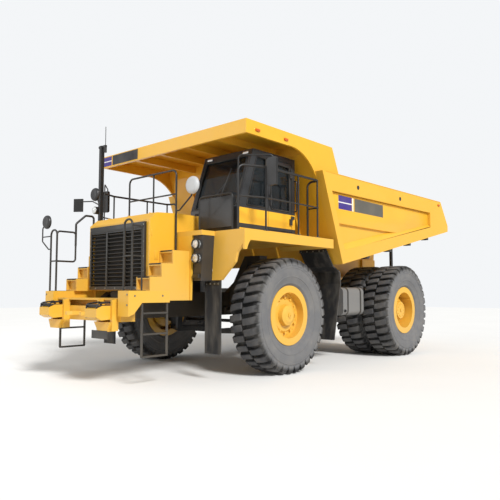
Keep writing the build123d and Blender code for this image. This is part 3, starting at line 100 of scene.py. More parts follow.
def add_block(bm, low, high, edge=0.004, segments=2, turn=None):
    """Block between two corners with rounded edges."""
    before = set(bm.verts)
    size = Vector(high) - Vector(low)
    place = Matrix.Translation((Vector(low) + Vector(high)) / 2)
    if turn:
        place = place @ turn
    bmesh.ops.create_cube(bm, size=1, matrix=place @ Matrix.Diagonal((*size, 1)))
    round_edges(bm, edges_of(new_verts(bm, before)), edge, segments)


def add_rod(bm, start, end, radius, segments=14, edge=0.0, tip=None):
    """Round bar between two points; tip is the radius at its end."""
    before = set(bm.verts)
    start = Vector(start)
    run = Vector(end) - start
    turn = run.to_track_quat("Z", "Y").to_matrix().to_4x4()
    bmesh.ops.create_cone(
        bm, cap_ends=True, cap_tris=False, segments=segments, radius1=radius,
        radius2=radius if tip is None else tip, depth=run.length,
        matrix=Matrix.Translation(start + run / 2) @ turn,
    )
    if edge:
        edges = edges_of(new_verts(bm, before))
        round_edges(bm, [e for e in edges if abs(e.calc_face_angle(0)) > 0.9], edge)


def add_turned(bm, profile, place, steps=48):
    """Spins (along, radius) points round the X axis and puts the result in place."""
    before = set(bm.verts)
    verts = [bm.verts.new((along, 0, radius)) for along, radius in profile]
    edges = [bm.edges.new(pair) for pair in zip(verts, verts[1:])]
    bmesh.ops.spin(
        bm, geom=verts + edges, cent=(0, 0, 0), axis=(1, 0, 0), angle=2 * pi, steps=steps,
        use_merge=True, use_duplicate=False,
    )
    bmesh.ops.remove_doubles(bm, verts=new_verts(bm, before), dist=1e-6)
    made = new_verts(bm, before)
    face_outward(bm, made)
    bmesh.ops.transform(bm, matrix=place, verts=made)


def add_plate(bm, outline, thickness, place, edge=0.003):
    """Flat plate from an outline in the XY plane, extruded along Z and put in place."""
    before = set(bm.verts)
    face = bm.faces.new([bm.verts.new((x, y, 0)) for x, y in outline])
    lifted = bmesh.ops.extrude_face_region(bm, geom=[face])["geom"]
    top = [g for g in lifted if isinstance(g, bmesh.types.BMVert)]
    bmesh.ops.translate(bm, verts=top, vec=(0, 0, thickness))
    if edge:
        round_edges(bm, edges_of(new_verts(bm, before)), edge)
    made = new_verts(bm, before)
    bmesh.ops.transform(bm, matrix=place, verts=made)
    face_outward(bm, made)


def side_plane(x):
    """Turns an outline drawn as (y, z) to face along X, starting at x."""
    return Matrix(((0, 0, 1, x), (1, 0, 0, 0), (0, 1, 0, 0), (0, 0, 0, 1)))


def front_plane(y):
    """Turns an outline drawn as (x, z) to face along -Y, starting at y."""
    return Matrix(((1, 0, 0, 0), (0, 0, -1, y), (0, 1, 0, 0), (0, 0, 0, 1)))


def turned_to(place, angle, axis="Z"):
    """Moves a shape to a place and turns it about an axis there."""
    return Matrix.Translation(place) @ Matrix.Rotation(angle, 4, axis)


def rounded(points, bend, steps=5):
    """Path through points with a curve at each corner."""
    points = [Vector(p) for p in points]
    path = [points[0]]
    for before, corner, after in zip(points, points[1:], points[2:]):
        reach = min(bend, (before - corner).length / 2, (after - corner).length / 2)
        start = corner + (before - corner).normalized() * reach
        end = corner + (after - corner).normalized() * reach
        for i in range(steps + 1):
            t = i / steps
            path.append(start * (1 - t) ** 2 + corner * 2 * t * (1 - t) + end * t ** 2)
    path.append(points[-1])
    return path


def add_tube(bm, points, radius, bend=0.05, segments=10):
    """Round tube along a path, with a curve at each corner and closed ends."""
    path = rounded(points, bend) if bend else [Vector(p) for p in points]
    heading = (path[1] - path[0]).normalized()
    turn = heading.to_track_quat("Z", "Y").to_matrix().to_4x4()
    place = Matrix.Translation(path[0]) @ turn
    ring = bmesh.ops.create_circle(
        bm, cap_ends=False, segments=segments, radius=radius, matrix=place,
    )["verts"]
    edges = edges_of(ring)
    bmesh.ops.edgeloop_fill(bm, edges=edges)
    for i in range(1, len(path)):
        step = (path[i] - path[i - 1]).normalized()
        follow = (path[i + 1] - path[i]).normalized() if i + 1 < len(path) else step
        aim = (step + follow).normalized()
        swing = heading.rotation_difference(aim).to_matrix().to_4x4()
        made = bmesh.ops.extrude_edge_only(bm, edges=edges)["geom"]
        ring = [g for g in made if isinstance(g, bmesh.types.BMVert)]
        edges = [
            g for g in made
            if isinstance(g, bmesh.types.BMEdge) and all(v in ring for v in g.verts)
        ]
        move = Matrix.Translation(path[i]) @ swing @ Matrix.Translation(-path[i - 1])
        bmesh.ops.transform(bm, matrix=move, verts=ring)
        heading = aim
    bmesh.ops.edgeloop_fill(bm, edges=edges)


def add_frame(bm, corners, radius, bend=0.04):
    """Round bead round a closed outline, with a hairline joint in its first side."""
    corners = [Vector(c) for c in corners]
    middle = (corners[0] + corners[1]) / 2
    gap = (corners[1] - corners[0]).normalized() * 0.0006
    add_tube(bm, [middle + gap, *corners[1:], corners[0], middle - gap], radius, bend, 8)


def rounded_outline(low, high, bend, steps=5):
    """Rectangle between two corners with rounded corners, as (x, y) points."""
    points = []
    for x, y, start in (
        (high[0] - bend, high[1] - bend, 0), (low[0] + bend, high[1] - bend, 1),
        (low[0] + bend, low[1] + bend, 2), (high[0] - bend, low[1] + bend, 3),
    ):
        for i in range(steps + 1):
            angle = pi / 2 * (start + i / steps)
            points.append((x + bend * cos(angle), y + bend * sin(angle)))
    return points


def add_bolts(bm, places, out, size=0.016):
    """Hexagon bolt heads on washers, standing out along a direction."""
    out = Vector(out).normalized()
    for place in places:
        place = Vector(place)
        add_rod(bm, place - out * 0.002, place + out * 0.003, size * 1.35, segments=12)
        add_rod(bm, place, place + out * size * 0.8, size, segments=6, tip=size * 0.93)


def mirrored(*meshes):
    """Adds the mirror images across the truck's centre plane."""
    for bm in meshes:
        bmesh.ops.mirror(
            bm, geom=bm.verts[:] + bm.edges[:] + bm.faces[:], matrix=Matrix.Identity(4),
            merge_dist=-1, axis="X",
        )


def finish_piece(bm, name, material, body="chassis", replaces=(), sharp=38):
    """Makes a piece of a bmesh, closed and facing outward, riding on its body."""
    bmesh.ops.translate(bm, verts=bm.verts, vec=(0, -ORIGIN_Y, 0))
    bmesh.ops.remove_doubles(bm, verts=bm.verts, dist=1e-5)
    bmesh.ops.recalc_face_normals(bm, faces=bm.faces)
    mesh = bpy.data.meshes.new(name)
    bm.to_mesh(mesh)
    bm.free()
    mesh.shade_smooth()
    mesh.set_sharp_from_angle(angle=radians(sharp))
    mesh.materials.append(bpy.data.materials[material])
    piece = bpy.data.objects.new(name, mesh)
    bpy.context.scene.collection.objects.link(piece)
    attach(piece, body)
    if replaces:
        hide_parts(*replaces)
    return piece


# Materials

DUST = linear("#9C8B6D")
COLOURS = {"data_type": "RGBA"}
MULTIPLY = {"operation": "MULTIPLY"}
SINE = {"operation": "SINE"}


def add_node(tree, kind, inputs=None, output=None, **settings):
    """Adds a shader node with its settings, values and links; gives its main output."""
    node = tree.nodes.new("ShaderNode" + kind)
    for key, value in settings.items():
        setattr(node, key, value)
    for key, value in (inputs or {}).items():
        if isinstance(value, bpy.types.NodeSocket):
            tree.links.new(value, node.inputs[key])
        else:
            node.inputs[key].default_value = value
    if output is None:
        output = 2 if settings == COLOURS else 0
    return node.outputs[output] if node.outputs else node


def new_material(name, **surface):
    """Material with one Principled shader; gives the tree, object coordinates and shader."""
    material = bpy.data.materials.new(name)
    material.use_nodes = True
    tree = material.node_tree
    tree.nodes.clear()
    shader = add_node(tree, "BsdfPrincipled").node
    for key, value in surface.items():
        shader.inputs[key.replace("_", " ")].default_value = value
    add_node(tree, "OutputMaterial", {"Surface": shader.outputs[0]})
    return tree, add_node(tree, "TexCoord", output="Object"), shader


def drive(shader, **sockets):
    """Links sockets to the shader's inputs."""
    for key, socket in sockets.items():
        shader.id_data.links.new(socket, shader.inputs[key.replace("_", " ")])


def make_enamel(name, colour, gloss, dirt, top=3.2):
    """Sprayed polyurethane enamel on steel plate: a slightly wavy film, dust low down."""
    tree, place, shader = new_material(name, Coat_Weight=0.18, Coat_Roughness=0.12)
    patches = add_node(
        tree, "TexNoise", {"Vector": place, "Scale": 1.4, "Detail": 7, "Roughness": 0.62},
    )
    film = add_node(tree, "TexNoise", {"Vector": place, "Scale": 26, "Detail": 3})
    specks = add_node(tree, "TexNoise", {"Vector": place, "Scale": 62, "Detail": 2})
    chips = add_node(tree, "MapRange", {0: specks, 1: 0.72, 2: 0.76, 3: 0.0, 4: 0.55})
    height = add_node(tree, "SeparateXYZ", {0: place}, "Z")
    low = add_node(tree, "MapRange", {0: height, 1: 0.3, 2: top, 3: 1.0, 4: 0.1})
    settled = add_node(tree, "Math", {0: low, 1: patches}, **MULTIPLY)
    amount = add_node(tree, "Math", {0: settled, 1: dirt}, **MULTIPLY)
    faded, primer = ([c * share for c in colour[:3]] + [1] for share in (0.84, 0.5))
    tone = add_node(tree, "Mix", {0: patches, 6: faded, 7: colour}, **COLOURS)
    chipped = add_node(tree, "Mix", {0: chips, 6: tone, 7: primer}, **COLOURS)
    dusty = add_node(tree, "Mix", {0: amount, 6: chipped, 7: DUST}, **COLOURS)
    rough = add_node(tree, "MapRange", {0: patches, 1: 0.3, 2: 0.7, 3: gloss, 4: gloss + 0.2})
    bump = add_node(tree, "Bump", {"Height": film, "Strength": 0.12, "Distance": 0.004})
    drive(shader, Base_Color=dusty, Roughness=rough, Normal=bump)
    return tree, place, shader, dusty


def make_cab_enamel(colours):
    """Dark grey enamel with the cab's yellow band masked along its lower left side."""
    tree, place, shader, dusty = make_enamel("cab_two_tone_enamel", colours.cab, 0.34, 0.25)
    axes = add_node(tree, "SeparateXYZ", {0: place}).node.outputs

    def between(axis, low, high):
        """Mask that is 1 between two planes across an axis."""
        above = add_node(tree, "Math", {0: axes[axis], 1: low}, operation="GREATER_THAN")
        below = add_node(tree, "Math", {0: axes[axis], 1: high}, operation="LESS_THAN")
        return add_node(tree, "Math", {0: above, 1: below}, **MULTIPLY)

    stripe = between("Z", 2.585, 2.625)
    panel = between("Z", 2.705, 2.985)
    band = add_node(tree, "Math", {0: stripe, 1: panel}, operation="MAXIMUM")
    side = between("X", 1.796, 1.803)
    mask = add_node(tree, "Math", {0: band, 1: side}, **MULTIPLY)
    both = add_node(tree, "Mix", {0: mask, 6: dusty, 7: list(colours.yellow)}, **COLOURS)
    drive(shader, Base_Color=both)


def make_worn_liner(colours):
    """Body plate under rock: enamel scraped to dull steel in streaks along the body."""
    tree, place, shader, dusty = make_enamel(
        "scraped_body_enamel", list(colours.yellow), 0.42, 0.5, 5.0,
    )
    stretched = add_node(tree, "Mapping", {"Vector": place, "Scale": (6.0, 0.4, 0.4)})
    streaks = add_node(tree, "TexNoise", {"Vector": stretched, "Scale": 2.6, "Detail": 10})
    bare = add_node(tree, "MapRange", {0: streaks, 1: 0.40, 2: 0.68, 3: 0.1, 4: 0.8})
    facing = add_node(tree, "SeparateXYZ", {0: add_node(tree, "TexCoord", output="Normal")}, "Z")
    upward = add_node(tree, "MapRange", {0: facing, 1: 0.55, 2: 0.8, 3: 0.0, 4: 1.0})
    mask = add_node(tree, "Math", {0: bare, 1: upward}, **MULTIPLY)
    scraped = add_node(tree, "Mix", {0: mask, 6: dusty, 7: linear("#77726A")}, **COLOURS)
    metal = add_node(tree, "Math", {0: mask, 1: 0.8}, **MULTIPLY)
    drive(shader, Base_Color=scraped, Metallic=metal)


def make_tread_plate(colour):
    """Enamelled chequer plate: raised bars 25 mm apart, drawn at 45 mm so that they show, with
    painted shade darkening the bars.
    """
    tree, place, shader, dusty = make_enamel("yellow_tread_plate", colour, 0.45, 0.7, 4.2)
    turned = add_node(tree, "Mapping", {"Vector": place, "Rotation": (0, 0, radians(45))})
    bars = add_node(tree, "TexChecker", {"Vector": turned, "Scale": 22.0}, "Fac")
    facing = add_node(tree, "SeparateXYZ", {0: add_node(tree, "TexCoord", output="Normal")}, "Z")
    upward = add_node(tree, "MapRange", {0: facing, 1: 0.8, 2: 0.95, 3: 0.0, 4: 1.0})
    raised = add_node(tree, "Math", {0: upward, 1: bars}, **MULTIPLY)
    bump = add_node(tree, "Bump", {"Height": raised, "Strength": 0.35, "Distance": 0.003})
    # Painted shade: the raised bars are mixed 16% toward dark brown so that they stand out.
    shade = add_node(tree, "Math", {0: raised, 1: 0.16}, **MULTIPLY)
    worn = add_node(tree, "Mix", {0: shade, 6: dusty, 7: linear("#5A4A24")}, **COLOURS)
    drive(shader, Base_Color=worn, Normal=bump)


def make_tyre_rubber(name, wheel_y, colours):
    """Moulded carbon-black rubber: dusty grey walls, painted shade darkening the grooves between
    the lugs, fine mould lines.
    """
    tree, place, shader = new_material(name, Roughness=0.82, IOR=1.52)
    centre = (0, -wheel_y, -AXLE_Z)
    centred = add_node(
        tree, "Mapping", {"Vector": place, "Location": centre, "Scale": (0, 1, 1)},
    )
    radius = add_node(tree, "VectorMath", {0: centred}, "Value", operation="LENGTH")
    patches = add_node(
        tree, "TexNoise", {"Vector": place, "Scale": 3.2, "Detail": 8, "Roughness": 0.65},
    )
    grit = add_node(tree, "TexNoise", {"Vector": place, "Scale": 90, "Detail": 2})
    # Painted shade: the grooves and the lug sides go near black by radius, and the lug tops stay
    # mid grey.
    groove = add_node(tree, "MapRange", {0: radius, 1: 0.94, 2: 1.0, 3: 0.0, 4: 1.0})
    crown = add_node(tree, "MapRange", {0: radius, 1: 1.035, 2: 1.062, 3: 0.0, 4: 0.75})
    wall, dark = list(colours.rubber), list(colours.tread)
    side = add_node(tree, "Mix", {0: groove, 6: wall, 7: dark}, **COLOURS)
    top = add_node(tree, "Mix", {0: crown, 6: side, 7: linear("#525254")}, **COLOURS)
    settled = add_node(tree, "MapRange", {0: patches, 1: 0.42, 2: 0.75, 3: 0.0, 4: 0.5})
    dusty = add_node(tree, "Mix", {0: settled, 6: top, 7: linear("#84807A")}, **COLOURS)
    rings = add_node(tree, "Math", {0: radius, 1: 260.0}, **MULTIPLY)
    wave = add_node(tree, "Math", {0: rings}, **SINE)
    height = add_node(tree, "Mix", {0: 0.55, 2: wave, 3: grit}, data_type="FLOAT")
    bump = add_node(tree, "Bump", {"Height": height, "Strength": 0.22, "Distance": 0.003})
    drive(shader, Base_Color=dusty, Normal=bump)


def make_sheet_rubber():
    """Calendered sheet rubber: dull black with pale dust in broad smears."""
    tree, place, shader = new_material("mudflap_sheet_rubber", Roughness=0.75, IOR=1.52)
    smear = add_node(tree, "Mapping", {"Vector": place, "Scale": (4, 4, 1)})
    dust = add_node(tree, "TexNoise", {"Vector": smear, "Scale": 1.6, "Detail": 8})
    amount = add_node(tree, "MapRange", {0: dust, 1: 0.45, 2: 0.75, 3: 0.0, 4: 0.6})
    black, pale = linear("#1B1B1C"), linear("#6D675E")
    colour = add_node(tree, "Mix", {0: amount, 6: black, 7: pale}, **COLOURS)
    bump = add_node(tree, "Bump", {"Height": dust, "Strength": 0.3, "Distance": 0.01})
    drive(shader, Base_Color=colour, Normal=bump)


def make_steels():
    """Chromed rod, oily cast steel and zinc-plated fastener."""
    # Ground hard chrome: a bright mirror with faint wiping marks.
    tree, place, shader = new_material(
        "hard_chrome_plate", Base_Color=linear("#C9CCD0"), Metallic=1.0, Roughness=0.12,
    )
    marks = add_node(tree, "TexNoise", {"Vector": place, "Scale": 40, "Detail": 4})
    rough = add_node(tree, "MapRange", {0: marks, 1: 0.3, 2: 0.7, 3: 0.08, 4: 0.22})
    drive(shader, Roughness=rough)

    # Sand-cast steel under black enamel: a pebbly skin with oily dirt.
    tree, place, shader = new_material("cast_steel_black_enamel", Roughness=0.5)
    cast = add_node(tree, "TexNoise", {"Vector": place, "Scale": 45, "Detail": 6})
    oily = add_node(tree, "TexNoise", {"Vector": place, "Scale": 2.5, "Detail": 6})
    amount = add_node(tree, "MapRange", {0: oily, 1: 0.45, 2: 0.72, 3: 0.0, 4: 0.45})
    black, dirt = linear("#161719"), linear("#4A4339")
    colour = add_node(tree, "Mix", {0: amount, 6: black, 7: dirt}, **COLOURS)
    bump = add_node(tree, "Bump", {"Height": cast, "Strength": 0.35, "Distance": 0.003})
    drive(shader, Base_Color=colour, Normal=bump)

    # Dull zinc: grey metal whose tarnish breaks up the shine.
    tree, place, shader = new_material(
        "zinc_plated_fastener", Base_Color=linear("#8E8D86"), Metallic=0.9, Roughness=0.42,
    )
    tarnish = add_node(tree, "TexNoise", {"Vector": place, "Scale": 55, "Detail": 3})
    rough = add_node(tree, "MapRange", {0: tarnish, 1: 0.3, 2: 0.7, 3: 0.34, 4: 0.6})
    drive(shader, Roughness=rough)


def make_glass_and_lenses():
    """Tinted cab glass, clear and amber lamp lenses and mirror glass."""
    # Tempered float glass, grey-tinted: a dark see-through pane with a sharp sheen.
    tree, place, shader = new_material(
        "tinted_float_glass", Base_Color=linear("#1D2326"), Roughness=0.03, IOR=1.52,
        Alpha=0.55,
    )
    film = add_node(tree, "TexNoise", {"Vector": place, "Scale": 3, "Detail": 6})
    haze = add_node(tree, "MapRange", {0: film, 1: 0.4, 2: 0.75, 3: 0.03, 4: 0.16})
    drive(shader, Roughness=haze)

    # Pressed polycarbonate lens: ribs 12 mm apart over a bright reflector.
    tree, place, shader = new_material(
        "ribbed_lamp_lens", Base_Color=linear("#E6E8E6"), Roughness=0.08, IOR=1.585,
        Coat_Weight=0.6,
    )
    across = add_node(tree, "SeparateXYZ", {0: place}, "X")
    phase = add_node(tree, "Math", {0: across, 1: 520.0}, **MULTIPLY)
    ribs = add_node(tree, "Math", {0: phase}, **SINE)
    bump = add_node(tree, "Bump", {"Height": ribs, "Strength": 0.4, "Distance": 0.003})
    shine = add_node(tree, "MapRange", {0: ribs, 1: -1, 2: 1, 3: 0.45, 4: 0.8})
    drive(shader, Metallic=shine, Normal=bump)

    # Moulded acrylic marker lens: saturated amber with a slightly uneven skin.
    tree, place, shader = new_material(
        "amber_acrylic_lens", Base_Color=linear("#C8560C"), Roughness=0.12, IOR=1.49,
        Coat_Weight=0.5,
    )
    skin = add_node(tree, "TexNoise", {"Vector": place, "Scale": 80, "Detail": 1})
    bump = add_node(tree, "Bump", {"Height": skin, "Strength": 0.15, "Distance": 0.002})
    drive(shader, Normal=bump)

    # Silvered mirror glass with a thin film of dust.
    tree, place, shader = new_material(
        "silvered_mirror_glass", Base_Color=linear("#D9DEE0"), Metallic=1.0, Roughness=0.03,
    )
    film = add_node(tree, "TexNoise", {"Vector": place, "Scale": 9, "Detail": 5})
    haze = add_node(tree, "MapRange", {0: film, 1: 0.4, 2: 0.8, 3: 0.02, 4: 0.2})
    drive(shader, Roughness=haze)


def make_plastics(colours):
    """Moulded plastics, rubber seals and printed vinyl: even, fine-grained, a little dusty."""
    for name, colour, rough, grain in (
        ("grained_cab_plastic", linear("#2A2B2D"), 0.6, 260.0),
        ("moulded_pale_plastic", linear("#B9BABA"), 0.42, 120.0),
        ("extruded_rubber_gasket", linear("#111112"), 0.7, 180.0),
        ("printed_vinyl_stripe", list(colours.stripe), 0.35, 90.0),
        ("printed_vinyl_white", linear("#E9E7E0"), 0.38, 90.0),
        ("dark_vinyl_plate", list(colours.plate), 0.4, 90.0),
        ("black_vinyl_plate", linear("#17171A"), 0.38, 90.0),
        ("air_filter_mesh", linear("#0D0D0E"), 0.8, 130.0),
    ):
        tree, place, shader = new_material(name, Roughness=rough, IOR=1.5)
        fine = add_node(tree, "TexNoise", {"Vector": place, "Scale": grain, "Detail": 3})
        broad = add_node(tree, "TexNoise", {"Vector": place, "Scale": 2.3, "Detail": 6})
        dust = add_node(tree, "MapRange", {0: broad, 1: 0.4, 2: 0.8, 3: 0.0, 4: 0.22})
        tone = add_node(tree, "Mix", {0: dust, 6: colour, 7: linear("#8F8473")}, **COLOURS)
        bump = add_node(tree, "Bump", {"Height": fine, "Strength": 0.18, "Distance": 0.001})
        drive(shader, Base_Color=tone, Normal=bump)


def make_seat_cloth():
    """Woven polyester: threads 1.2 mm apart, drawn at 4 mm so that the weave shows."""
    tree, place, shader = new_material(
        "woven_polyester_cloth", Roughness=0.9, IOR=1.5, Sheen_Weight=0.35,
        Sheen_Roughness=0.4,
    )
    axes = add_node(tree, "SeparateXYZ", {0: place}).node.outputs
    waves = []
    for axis in axes:
        phase = add_node(tree, "Math", {0: axis, 1: 1570.0}, **MULTIPLY)
        waves.append(add_node(tree, "Math", {0: phase}, **SINE))
    over = add_node(tree, "Math", {0: waves[0], 1: waves[1]}, **MULTIPLY)
    weave = add_node(tree, "Math", {0: over, 1: waves[2]}, operation="ADD")
    fade = add_node(tree, "TexNoise", {"Vector": place, "Scale": 14, "Detail": 4})
    dark, worn = linear("#232428"), linear("#43454B")
    tone = add_node(tree, "Mix", {0: fade, 6: dark, 7: worn}, **COLOURS)
    bump = add_node(tree, "Bump", {"Height": weave, "Strength": 0.5, "Distance": 0.001})
    drive(shader, Base_Color=tone, Normal=bump)


def make_floor():
    """Matt painted studio floor, pale and even, with the faintest mottling."""
    tree, place, shader = new_material("matt_studio_floor", Roughness=0.9)
    mottle = add_node(tree, "TexNoise", {"Vector": place, "Scale": 0.4, "Detail": 3})
    pale, paler = linear("#EDECE9"), linear("#F4F3F0")
    drive(shader, Base_Color=add_node(tree, "Mix", {0: mottle, 6: pale, 7: paler}, **COLOURS))


# Sizes and colours


def colour(name, description, code):
    """Colour setting with its sRGB hex default."""
    return FloatVectorProperty(
        name=name, description=description, subtype="COLOR", size=4, min=0, max=1,
        default=linear(code),
    )


def length(name, description, default):
    """Length setting in metres."""
    return FloatProperty(name=name, description=description, unit="LENGTH", default=default)


class TruckColours(bpy.types.PropertyGroup):
    """Paint and rubber colours."""

    yellow: colour("Yellow", "Chassis and body paint", "#EFB52A")
    # This black also serves as painted shade on the main frame under the body.
    black: colour("Black", "Frame and handrail paint", "#131416")
    grey: colour("Dark grey", "Lamp panels and ladders", "#232427")
    cab: colour("Cab grey", "Cab shell and door", "#2B2D30")
    tank: colour("Tank grey", "Fuel and hydraulic tanks", "#737475")
    rubber: colour("Tyre wall", "Tyre sidewall", "#656566")
    # The groove colour is painted shade in the tread's recesses, not a colour of the rubber.
    tread: colour("Tyre groove", "Bottom of the tread", "#1B1B1C")
    stripe: colour("Stripe", "Side and canopy stripes", "#35257E")
    plate: colour("Plate", "Blank side plate", "#59564E")


class TyreSizes(bpy.types.PropertyGroup):
    """Tread of the six tyres."""

    lugs: IntProperty(
        name="Lugs", description="Lugs round each half of the tread", min=12, default=34,
    )
    width: length("Lug width", "Width of a lug round the tyre", 0.128)
    lean: length("Lug lean", "How far a lug's shoulder end trails", 0.055)
    steps: IntProperty(name="Steps", description="Facets round the tyre", min=24, default=96)


class TrimSizes(bpy.types.PropertyGroup):
    """Sizes of the trim."""

    bolt: length("Bolt", "Bolt head radius", 0.015)
    nut: length("Wheel nut", "Wheel nut radius", 0.019)
    gasket: length("Gasket", "Window gasket width", 0.028)
    weld: length("Weld", "Weld bead radius", 0.007)


class SeatSizes(bpy.types.PropertyGroup):
    """Operator's seat."""

    voxel: length("Voxel", "Remesh size", 0.006)
    pressure: FloatProperty(name="Pressure", description="Cloth pressure", default=4.0)
    swell: length("Swell", "Largest swelling", 0.024)
    seam: length("Seam", "Depth of a sewn channel", 0.008)


class StageSizes(bpy.types.PropertyGroup):
    """Camera and floor."""

    place: FloatVectorProperty(
        name="Camera", description="Camera position", subtype="TRANSLATION", unit="LENGTH",
        default=(8.3325, -9.8670, 1.4947),
    )
    heading: FloatProperty(
        name="Heading", description="Turn from straight ahead", unit="ROTATION",
        default=radians(41.686),
    )
    pitch: FloatProperty(
        name="Pitch", description="Upward tilt", unit="ROTATION", default=radians(4.3465),
    )
    lens: FloatProperty(name="Lens", description="Focal length in mm", default=40.10)
    floor: length("Floor", "Floor size", 90.0)


# Operators


class TRUCK_OT_finishes(bpy.types.Operator):
    """Make the materials and paint the CAD nodes"""

    bl_idname = "truck.finishes"
    bl_label = "Finishes"

    def execute(self, context):
        """Builds each material once, then gives every node its own."""
        colours = context.scene.truck_colours
        make_enamel("chrome_yellow_enamel", list(colours.yellow), 0.3, 0.55)
        make_enamel("black_enamel_and_frame_shade", list(colours.black), 0.38, 0.22)
        make_enamel("dark_grey_enamel", list(colours.grey), 0.42, 0.22)
        make_enamel("tank_grey_enamel", list(colours.tank), 0.4, 0.35)
        make_cab_enamel(colours)
        make_worn_liner(colours)
        make_tread_plate(list(colours.yellow))
        make_tyre_rubber("front_tyre_rubber", -ORIGIN_Y, colours)
        make_tyre_rubber("rear_tyre_rubber", REAR_AXLE - ORIGIN_Y, colours)
        make_sheet_rubber()
        make_steels()
        make_glass_and_lenses()
        make_plastics(colours)
        make_seat_cloth()
        make_floor()
        by_node = {
            "chrome_yellow_enamel": "hood bulkheads front_bumper body_sills body_front_wall "
            "canopy front_rim_left front_rim_right rear_rims_left rear_rims_right",
            "yellow_tread_plate": "decks deck_centre front_steps",
            "scraped_body_enamel": "body_floor body_sides",
            # The main frame's black is painted shade for the shadowed zone under the body; the
            # other nodes here are black paint.
            "black_enamel_and_frame_shade": "main_frame grille guardrails grille_rail step_rails "
            "mirrors mast hoist_barrel_left hoist_barrel_right steering_barrels",
            "dark_grey_enamel": "lamp_panels ladders",
            "tank_grey_enamel": "fuel_tank hydraulic_tank",
            "cab_two_tone_enamel": "cab_shell cab_door",
            "tinted_float_glass": "cab_glass cab_door_glass",
            "ribbed_lamp_lens": "headlamps",
            "grained_cab_plastic": "cab_controls",
            "mudflap_sheet_rubber": "mudflaps",
            "hard_chrome_plate": "hoist_stage_left hoist_stage_right hoist_rod_left "
            "hoist_rod_right steering_rod_left steering_rod_right",
            "cast_steel_black_enamel": "front_suspension engine driveline rear_axle "
            "rear_suspension knuckle_left knuckle_right tie_rod rock_ejectors",
            "woven_polyester_cloth": "cab_seat",
            "front_tyre_rubber": "front_tyre_left front_tyre_right",
            "rear_tyre_rubber": "rear_tyres_left rear_tyres_right",
        }
        unpainted = set(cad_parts)
        for material, nodes in by_node.items():
            for node in nodes.split():
                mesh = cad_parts[node].data
                mesh.materials.clear()
                mesh.materials.append(bpy.data.materials[material])
                unpainted.discard(node)
        if unpainted:
            raise RuntimeError(f"no finish for {sorted(unpainted)}")
        return {"FINISHED"}


def lug_mesh(sizes):
    """One shoulder lug of the tread, standing on the tyre's top."""
    section = [
        (0.012, 0.985), (0.012, 1.063), (0.150, 1.066), (0.262, 1.060), (0.300, 1.042),
        (0.322, 0.990), (0.3245, 0.925), (0.312, 0.905), (0.290, 0.960),
    ]
    lug = bmesh.new()
    add_plate(lug, section, sizes.width, Matrix.Translation((0, 0, -sizes.width / 2)), edge=0)
    stand = Matrix(((1, 0, 0, 0), (0, 0, 1, 0), (0, 1, 0, 0), (0, 0, 0, 1)))
    bmesh.ops.transform(lug, matrix=stand, verts=lug.verts)
    shoulder, groove, depth, taper = 0.3, 0.99, 0.08, 0.11
    for vert in lug.verts:
        vert.co.y *= 1 - taper * (vert.co.z - groove) / depth
        vert.co.y += sizes.lean * (vert.co.x / shoulder) ** 1.5
    round_edges(lug, edges_of(lug.verts), 0.009, 1)
    bmesh.ops.recalc_face_normals(lug, faces=lug.faces)
    mesh = bpy.data.meshes.new("lug")
    lug.to_mesh(mesh)
    lug.free()
    return mesh


def tyre_mesh(sizes):
    """One treaded tyre about the X axis at the origin."""
    bm = bmesh.new()
    half = [
        (0.214, 0.447), (0.222, 0.500), (0.230, 0.556), (0.258, 0.580), (0.270, 0.598),
        (0.268, 0.612), (0.288, 0.660), (0.303, 0.708), (0.310, 0.713), (0.310, 0.726),
        (0.306, 0.732), (0.317, 0.785), (0.320, 0.835), (0.318, 0.872), (0.3245, 0.877),
        (0.3245, 0.892), (0.316, 0.898), (0.308, 0.935), (0.296, 0.968), (0.276, 0.992),
        (0.200, 1.004), (0.080, 1.008),
    ]
    profile = half + [(-x, r) for x, r in reversed(half)] + [half[0]]
    add_turned(bm, profile, Matrix.Identity(4), sizes.steps)
    lug = lug_mesh(sizes)
    for side in (0, 1):
        flip = Matrix.Rotation(pi * side, 4, "Z")
        for i in range(sizes.lugs):
            before = set(bm.verts)
            bm.from_mesh(lug)
            round_tyre = Matrix.Rotation(2 * pi * (i + 0.5 * side) / sizes.lugs, 4, "X")
            bmesh.ops.transform(bm, matrix=round_tyre @ flip, verts=new_verts(bm, before))
    mesh = bpy.data.meshes.new("treaded_tyre")
    bm.to_mesh(mesh)
    bm.free()
    bpy.data.meshes.remove(lug)
    return mesh


class TRUCK_OT_tyres(bpy.types.Operator):
    """Make the six treaded tyres"""

    bl_idname = "truck.tyres"
    bl_label = "Tyres"

    def execute(self, context):
        """One tyre mesh, copied to each wheel and turned to face outward."""
        tyre = tyre_mesh(context.scene.truck_tyres)
        twins = (REAR_WHEELS_X - HALF_DUAL_SPACING, REAR_WHEELS_X + HALF_DUAL_SPACING)
        for side, sign in SIDES:
            for node, body, axle_y, places, rubber in (
                ("front_tyre_", "front_wheel_", 0, (FRONT_WHEEL_X,), "front_tyre_rubber"),
                ("rear_tyres_", "rear_wheels_", REAR_AXLE, twins, "rear_tyre_rubber"),
            ):
                bm = bmesh.new()
                for x in places:
                    before = set(bm.verts)
                    bm.from_mesh(tyre)
                    place = turned_to((sign * x, axle_y, AXLE_Z), 0 if sign > 0 else pi)
                    bmesh.ops.transform(bm, matrix=place, verts=new_verts(bm, before))
                finish_piece(
                    bm, "treaded_" + node + side, rubber, body + side,
                    replaces=(node + side,), sharp=32,
                )
        bpy.data.meshes.remove(tyre)
        return {"FINISHED"}


